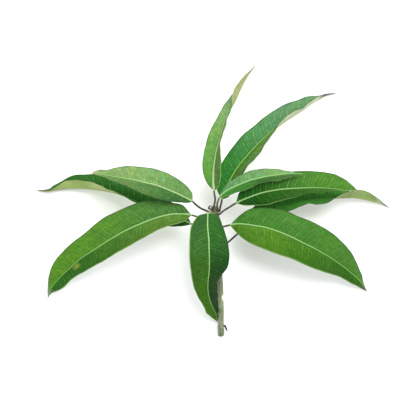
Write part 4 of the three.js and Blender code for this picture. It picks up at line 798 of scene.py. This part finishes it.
def bark_mat():
    k = Net("twig_bark")
    v1, along, ang, rad = k.attr("lf")      # mm along, mm round, radius
    v2, end, scar_and_glint, foot = k.attr("lg")      # cut face, scar, near the tip
    p = k.vec(along, ang, 0.0)
    streak = k.noise(k.vec(k.math("MULTIPLY", along, 0.12), ang, 2.0), 0.75, 5.0, 0.62)
    col = k.mix(k.step(streak, 0.32, 0.68), lin((128, 142, 100)), lin((192, 204, 166)))
    blot = k.noise(p, 0.11, 4.0, 0.6)
    col = k.mix(k.math("MULTIPLY", k.step(blot, 0.46, 0.68), 0.65), col, lin((132, 124, 104)))
    green = k.noise(k.vec(along, ang, 9.0), 0.06, 2.0)
    col = k.mix(k.math("MULTIPLY", k.step(green, 0.45, 0.65), 0.45), col, lin((112, 138, 78)))
    col = k.mix(k.math("MULTIPLY", foot, 0.75), col, k.mix(k.step(blot, 0.4, 0.65), lin((166, 160, 118)), lin((112, 100, 66))))
    # painted shadow: the bark is made darker from about y = -100 mm towards the leafy end, where leaf_over_stem shades
    # the twig
    near = k.step(k.math("ADD", along, k.math("MULTIPLY", blot, 4.0)), -104.0, -92.0)
    col = k.mix(near, col, k.mix(1.0, col, (0.66, 0.67, 0.64, 1), "MULTIPLY"))
    # lenticels: short pale dashes along the twig
    vor = k.node("ShaderNodeTexVoronoi", feature="F1")
    k.put(vor.inputs["Vector"], k.vec(k.math("MULTIPLY", along, 0.42), ang, 5.0)); vor.inputs["Scale"].default_value = 0.36
    worn = k.math("SUBTRACT", 1.0, k.step(k.math("ADD", along, k.math("MULTIPLY", k.noise(p, 0.5, 2.0), 6.0)), -143.0, -132.0))
    patch = k.step(k.noise(k.vec(k.math("MULTIPLY", along, 0.8), ang, 3.0), 0.42, 4.0, 0.65), 0.44, 0.60)
    col = k.mix(k.math("MULTIPLY", k.math("MULTIPLY", worn, patch), 0.8), col, lin((66, 72, 46)))
    len_ = k.math("SUBTRACT", 1.0, k.step(vor.outputs["Distance"], 0.10, 0.20))
    col = k.mix(k.math("MULTIPLY", len_, 0.6), col, lin((176, 178, 150)))
    # fine cracks
    crack = k.noise(k.vec(k.math("MULTIPLY", along, 0.25), ang, 7.0), 2.6, 3.0)
    col = k.mix(k.math("MULTIPLY", k.step(crack, 0.56, 0.74), 0.45), col, lin((74, 70, 54)))
    # pale leaf scar, partly the scar's own pale colour and partly a painted highlight: its near-white is set brighter
    # than the bark's other colours
    col = k.mix(scar_and_glint, col, k.mix(k.step(k.noise(p, 0.8, 2.0), 0.4, 0.7), lin((255, 255, 232), 0.8), lin((240, 240, 196), 0.72)))
    # cut face: pale wood with a darker bark ring and pith
    rr = rad
    rings = k.math("SINE", k.math("MULTIPLY", rr, 11.0))
    wood = k.mix(k.math("MULTIPLY_ADD", rings, 0.2, 0.3), lin((196, 190, 144)), lin((150, 142, 98)))
    wood = k.mix(k.math("SUBTRACT", 1.0, k.step(rr, 0.5, 0.9)), wood, lin((120, 98, 66)))
    wood = k.mix(k.step(rr, 3.0, 3.35), wood, lin((88, 92, 58)))
    col = k.mix(end, col, wood)
    hgt = k.math("ADD", k.math("MULTIPLY", streak, 0.8), k.math("MULTIPLY", len_, 0.7))
    hgt = k.math("SUBTRACT", hgt, k.math("MULTIPLY", k.step(crack, 0.56, 0.74), 0.5))
    bump = k.node("ShaderNodeBump"); bump.inputs["Strength"].default_value = 0.6; bump.inputs["Distance"].default_value = 0.0005
    k.put(bump.inputs["Height"], hgt)
    b = k.node("ShaderNodeBsdfPrincipled")
    k.put(b.inputs["Base Color"], col); k.put(b.inputs["Roughness"], k.math("MULTIPLY_ADD", streak, 0.2, 0.5)); k.put(b.inputs["Normal"], bump.outputs[0])
    b.inputs["Specular IOR Level"].default_value = 0.4
    k.t.links.new(b.outputs[0], k.out.inputs["Surface"])
    return k.m


# ---- twig ----
SCAR = dict(y=-105.1, angle=54.0, rise=0.42, along=3.6, across=33.0)
RING_Y = -141.5


def twig_mesh(mat):
    ax = spline([r[1] for r in STEM_AXIS], STEM_AXIS)
    y0, y1 = STEM_AXIS[0][1], STEM_AXIS[-1][1]
    ys = np.concatenate([[y0, y0 + 0.12, y0 + 0.35, y0 + 0.7], np.linspace(y0 + 1.1, 1.2, 470), np.linspace(1.5, 5.25, 22)])
    SD = 72
    deg = np.arange(SD) * 360.0 / SD
    q = ax(np.clip(ys, y0, y1)); qa = ax(np.clip(ys - 1, y0, y1)); qb = ax(np.clip(ys + 1, y0, y1))
    C = np.stack([q[:, 0], ys, q[:, 2] + np.maximum(ys - y1, 0) * 0.3], 1)
    T = unit(qb[:, :3] - qa[:, :3])
    up = unit(np.array([0, 0, 1.0]) - T * T[:, 2:3]); right = unit(np.cross(T, up))
    r = q[:, 3].copy()
    r -= 0.45 * np.clip(1 - (ys - y0) / 0.7, 0, 1) ** 1.5
    r += 0.32 * np.exp(-((ys - RING_Y) / 1.2) ** 2) - 0.12 * np.exp(-((ys - RING_Y - 2.4) / 0.9) ** 2)
    r += 0.10 * np.exp(-((ys + 118) / 1.0) ** 2) + 0.10 * np.exp(-((ys + 62) / 1.2) ** 2)
    tip = ys > 1.2
    r[tip] *= np.sqrt(np.maximum(0.05, 1 - ((ys[tip] - 1.2) / 4.3) ** 2))
    w = np.abs((deg - SCAR["angle"] + 540) % 360 - 180)
    inn = (np.exp(-((ys - SCAR["y"]) / SCAR["along"]) ** 4)[:, None] * np.exp(-(w / SCAR["across"]) ** 4)[None, :])
    rr = r[:, None] + SCAR["rise"] * inn
    # grain, long low ridges and small bumps
    th = np.radians(deg)[None, :]; Y = ys[:, None]
    fade = np.clip((ys - y0) / 1.0, 0, 1)[:, None] * (1 - smooth((ys - 1.0) / 3.0))[:, None]
    rr = rr + fade * (0.045 * np.sin(5 * th + 0.05 * Y) + 0.035 * np.sin(9 * th + 1.3 + 0.09 * Y) + 0.03 * np.sin(17 * th + 0.13 * Y + np.sin(0.21 * Y))
                      + 0.04 * np.sin(0.55 * Y + 2 * th) * np.sin(0.17 * Y + 1.0) + 0.025 * np.sin(1.7 * Y + 3 * th))
    rr = np.minimum(rr, r[:, None] + 0.5)
    P = C[:, None, :] + up[:, None, :] * (np.cos(th) * rr)[..., None] + right[:, None, :] * (np.sin(th) * rr)[..., None]
    R = len(ys)
    co = P.reshape(-1, 3)
    al = np.repeat(ys[:, None], SD, 1); an = np.repeat((np.radians(deg) * 3.8)[None, :], R, 0)
    # angle as a smooth closed field, so that no seam shows
    lf = np.stack([al, 3.8 * np.sin(th) * np.ones_like(al) + 0.9 * np.cos(2 * th), rr], -1).reshape(-1, 3)
    lg = np.stack([np.zeros_like(al), np.clip(inn * 1.25 - 0.2, 0, 1), np.repeat(smooth((ys + 22) / 22)[:, None], SD, 1)], -1).reshape(-1, 3)
    quads = []
    i, j = np.meshgrid(np.arange(R - 1), np.arange(SD), indexing="ij")
    a = (i * SD + j).ravel(); b2 = (i * SD + (j + 1) % SD).ravel()
    quads = np.stack([a, a + SD, b2 + SD, b2], 1)
    # cut face: rings inwards, with own vertices so that its colour is its own
    extra, elf, elg = [], [], []
    faces = [tuple(x) for x in quads]
    N0 = len(co)
    rad = [1.0, 0.8, 0.6, 0.4, 0.2, 0.06]
    for kf in rad:
        ring = C[0] + (P[0] - C[0]) * kf + T[0] * (0.10 * (1 - kf) + 0.03 * np.sin(9 * np.radians(deg) + kf * 9))[:, None] * (kf < 1)
        extra.append(ring)
        elf.append(np.stack([np.full(SD, ys[0]), ring[:, 0] - C[0][0], rr[0] * kf], -1))
        elg.append(np.tile([1.0, 0.0, 0.0], (SD, 1)))
    for kx in range(len(rad) - 1):
        for jj in range(SD):
            a_ = N0 + kx * SD + jj; b_ = N0 + kx * SD + (jj + 1) % SD
            faces.append((a_, b_, b_ + SD, a_ + SD))
    last = N0 + (len(rad) - 1) * SD
    faces.append(tuple(last + np.arange(SD)))
    # joint between bark and the cut face
    for jj in range(SD):
        faces.append((jj, (jj + 1) % SD, N0 + (jj + 1) % SD, N0 + jj))
    endc = (R - 1) * SD
    faces.append(tuple((endc + np.arange(SD))[::-1]))
    co = np.vstack([co] + extra); lf = np.vstack([lf] + elf); lg = np.vstack([lg] + elg)
    co = (co - np.array(ORIGIN)) / 1000.0
    co = np.clip(co, np.array(CAD_BOX[0]) + 2e-5, np.array(CAD_BOX[1]) - 2e-5)
    return new_mesh("twig", co, faces, {"lf": lf, "lg": lg}, None, [mat])


def rod_mesh(name, points, radii, mat, seed, sides=36, n=60):
    pts = np.array(points, float)
    k = np.r_[0, np.cumsum(np.sqrt(np.linalg.norm(np.diff(pts, axis=0), axis=1)))]
    t = np.linspace(0, 1, n)
    C = spline(k, pts)(t * k[-1])
    L = arc(C)
    r = np.interp(t, np.linspace(0, 1, len(radii)), radii)
    T = unit(np.gradient(C, axis=0))
    up = unit(np.array([0, 0, 1.0]) - T * T[:, 2:3]); right = unit(np.cross(T, up))
    th = np.arange(sides) * 2 * np.pi / sides
    rr = r[:, None] * (1 + 0.07 * np.sin(5 * th[None, :] + seed + 3 * t[:, None]) + 0.05 * np.sin(9 * th[None, :] + 11 * t[:, None]) + 0.05 * np.sin(L[:, None] * 3.1))
    P = C[:, None, :] + up[:, None, :] * (np.cos(th) * rr)[..., None] + right[:, None, :] * (np.sin(th) * rr)[..., None]
    co = (P.reshape(-1, 3) - np.array(ORIGIN)) / 1000.0
    i, j = np.meshgrid(np.arange(n - 1), np.arange(sides), indexing="ij")
    a = (i * sides + j).ravel(); b2 = (i * sides + (j + 1) % sides).ravel()
    faces = [tuple(x) for x in np.stack([a, a + sides, b2 + sides, b2], 1)]
    faces.append(tuple(range(sides)))
    faces.append(tuple((n - 1) * sides + np.arange(sides)[::-1]))
    al = np.repeat(L[:, None], sides, 1)
    lf = np.stack([al - L[-1], np.sin(th)[None, :] * rr * 2, np.zeros_like(al)], -1).reshape(-1, 3)
    lg = np.zeros_like(lf)
    return new_mesh(name, co, faces, {"lf": lf, "lg": lg}, None, [mat])


# ---- build ----
root = "root" if "root" in frame["bodies"] else list(frame["bodies"])[0]
LOOK["leaf_left_lower"]["spot"] = (0.746, -0.26, 0.022)
STALK_LOOK = {
    "leaf_top_left": ((74, 66, 34), (96, 108, 56)), "leaf_top_right": ((66, 60, 34), (86, 96, 50)),
    "leaf_right_small": ((98, 92, 60), (134, 150, 92)), "leaf_right_upper": ((84, 84, 58), (78, 84, 48)),
    "leaf_right_under": ((66, 64, 40), (88, 100, 56)), "leaf_left_small": ((48, 34, 20), (74, 66, 38)),
    "leaf_left_under": ((70, 64, 40), (70, 82, 40)), "leaf_left_lower": ((84, 84, 58), (96, 112, 62)),
    "leaf_right_lower": ((98, 102, 76), (92, 104, 62)), "leaf_over_stem": ((164, 160, 116), (178, 206, 136)),
}
for name, d in LEAVES.items():
    look = LOOK[name]
    mats = [leaf_upper(name, look), leaf_lower(name, look), stalk_mat(name + "_stalk", *STALK_LOOK[name], look["seed"])]
    ob = leaf_mesh(name + "_blade", d, look["seed"], mats)
    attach(ob, root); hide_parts(name)
tw = twig_mesh(bark_mat())
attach(tw, root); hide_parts("stem")
bud = rod_mesh("bud", [[0.4, 0.9, 46.1], [-1.25, 2.0, 46.9], [-1.3, 3.2, 47.1], [-0.3, 4.35, 46.9], [1.5, 5.0, 46.4]], [1.0, 1.1, 1.05, 0.92, 0.78, 0.4],
               stalk_mat("bud_scales", (104, 88, 54), (62, 46, 28), 21), 3)
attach(bud, root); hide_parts("terminal_bud")
stump = rod_mesh("stump", [[17.7, -139.6, 8.35], [18.8, -141.8, 8.4], [19.9, -144.4, 8.0], [20.9, -147.2, 7.4]], [1.28, 1.22, 1.07, 0.93, 0.66],
                 stalk_mat("stump_bark", (50, 42, 34), (70, 60, 48), 22), 5)
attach(stump, root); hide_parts("stalk_stump")

# ---- floor, light, camera ----
scene = bpy.context.scene
bpy.ops.mesh.primitive_plane_add(size=8, location=(0, 0, -0.0002))
floor = bpy.context.object; floor.name = "floor"
kf = Net("floor_white")
bf = kf.node("ShaderNodeBsdfDiffuse"); bf.inputs["Color"].default_value = (0.885, 0.885, 0.88, 1)
kf.t.links.new(bf.outputs[0], kf.out.inputs["Surface"])
floor.data.materials.append(kf.m)

SKY_SIDE, SKY_TOP, SKY_NORTH = 1.72, 0.15, 0.45
world = bpy.data.worlds.new("studio"); scene.world = world
world.use_nodes = True
bg = world.node_tree.nodes["Background"]
bg.inputs[0].default_value = (0.97, 0.985, 1.0, 1)
wt = world.node_tree
tc = wt.nodes.new("ShaderNodeTexCoord"); sp_ = wt.nodes.new("ShaderNodeSeparateXYZ")
wt.links.new(tc.outputs["Generated"], sp_.inputs[0])


def wmath(op, a, b):
    n = wt.nodes.new("ShaderNodeMath"); n.operation = op
    for i, v in enumerate((a, b)):
        if isinstance(v, bpy.types.NodeSocket):
            wt.links.new(v, n.inputs[i])
        else:
            n.inputs[i].default_value = v
    return n.outputs[0]


mr = wt.nodes.new("ShaderNodeMapRange"); mr.interpolation_type = "SMOOTHSTEP"
wt.links.new(sp_.outputs[2], mr.inputs[0])
mr.inputs[1].default_value = 0.80; mr.inputs[2].default_value = 0.97
mr.inputs[3].default_value = SKY_SIDE; mr.inputs[4].default_value = SKY_TOP
sky = wmath("MULTIPLY", mr.outputs[0], wmath("ADD", 1.0, wmath("MULTIPLY", sp_.outputs[1], SKY_NORTH)))
wt.links.new(sky, bg.inputs[1])


def area(name, loc, target, size, energy, color=(1, 1, 1), size_y=None):
    li = bpy.data.lights.new(name, "AREA")
    li.energy = energy; li.color = color; li.size = size
    if size_y:
        li.shape = "RECTANGLE"; li.size_y = size_y
    ob = bpy.data.objects.new(name, li)
    scene.collection.objects.link(ob)
    ob.location = loc
    ob.rotation_euler = (Vector(target) - Vector(loc)).to_track_quat("-Z", "Y").to_euler()
    return ob


area("key", (0.45, 0.95, 1.85), (0, 0, 0.03), 1.1, 38, (1, 0.995, 0.98), 1.1)

cam = bpy.data.cameras.new("camera")
cam.sensor_width = 36; cam.sensor_fit = "HORIZONTAL"
cam.lens = 36 / 2 / (1.2223 * 210 / 1300)
cam.clip_start = 0.05; cam.clip_end = 20
co_ = bpy.data.objects.new("camera", cam)
scene.collection.objects.link(co_)
co_.location = (-ORIGIN[0] / 1000, -ORIGIN[1] / 1000, (1300 - ORIGIN[2]) / 1000)
co_.rotation_euler = (0, 0, 0)
scene.camera = co_
scene.view_settings.view_transform = "Standard"
scene.view_settings.look = "None"
scene.view_settings.exposure = 0.0

bpy.context.view_layer.update()
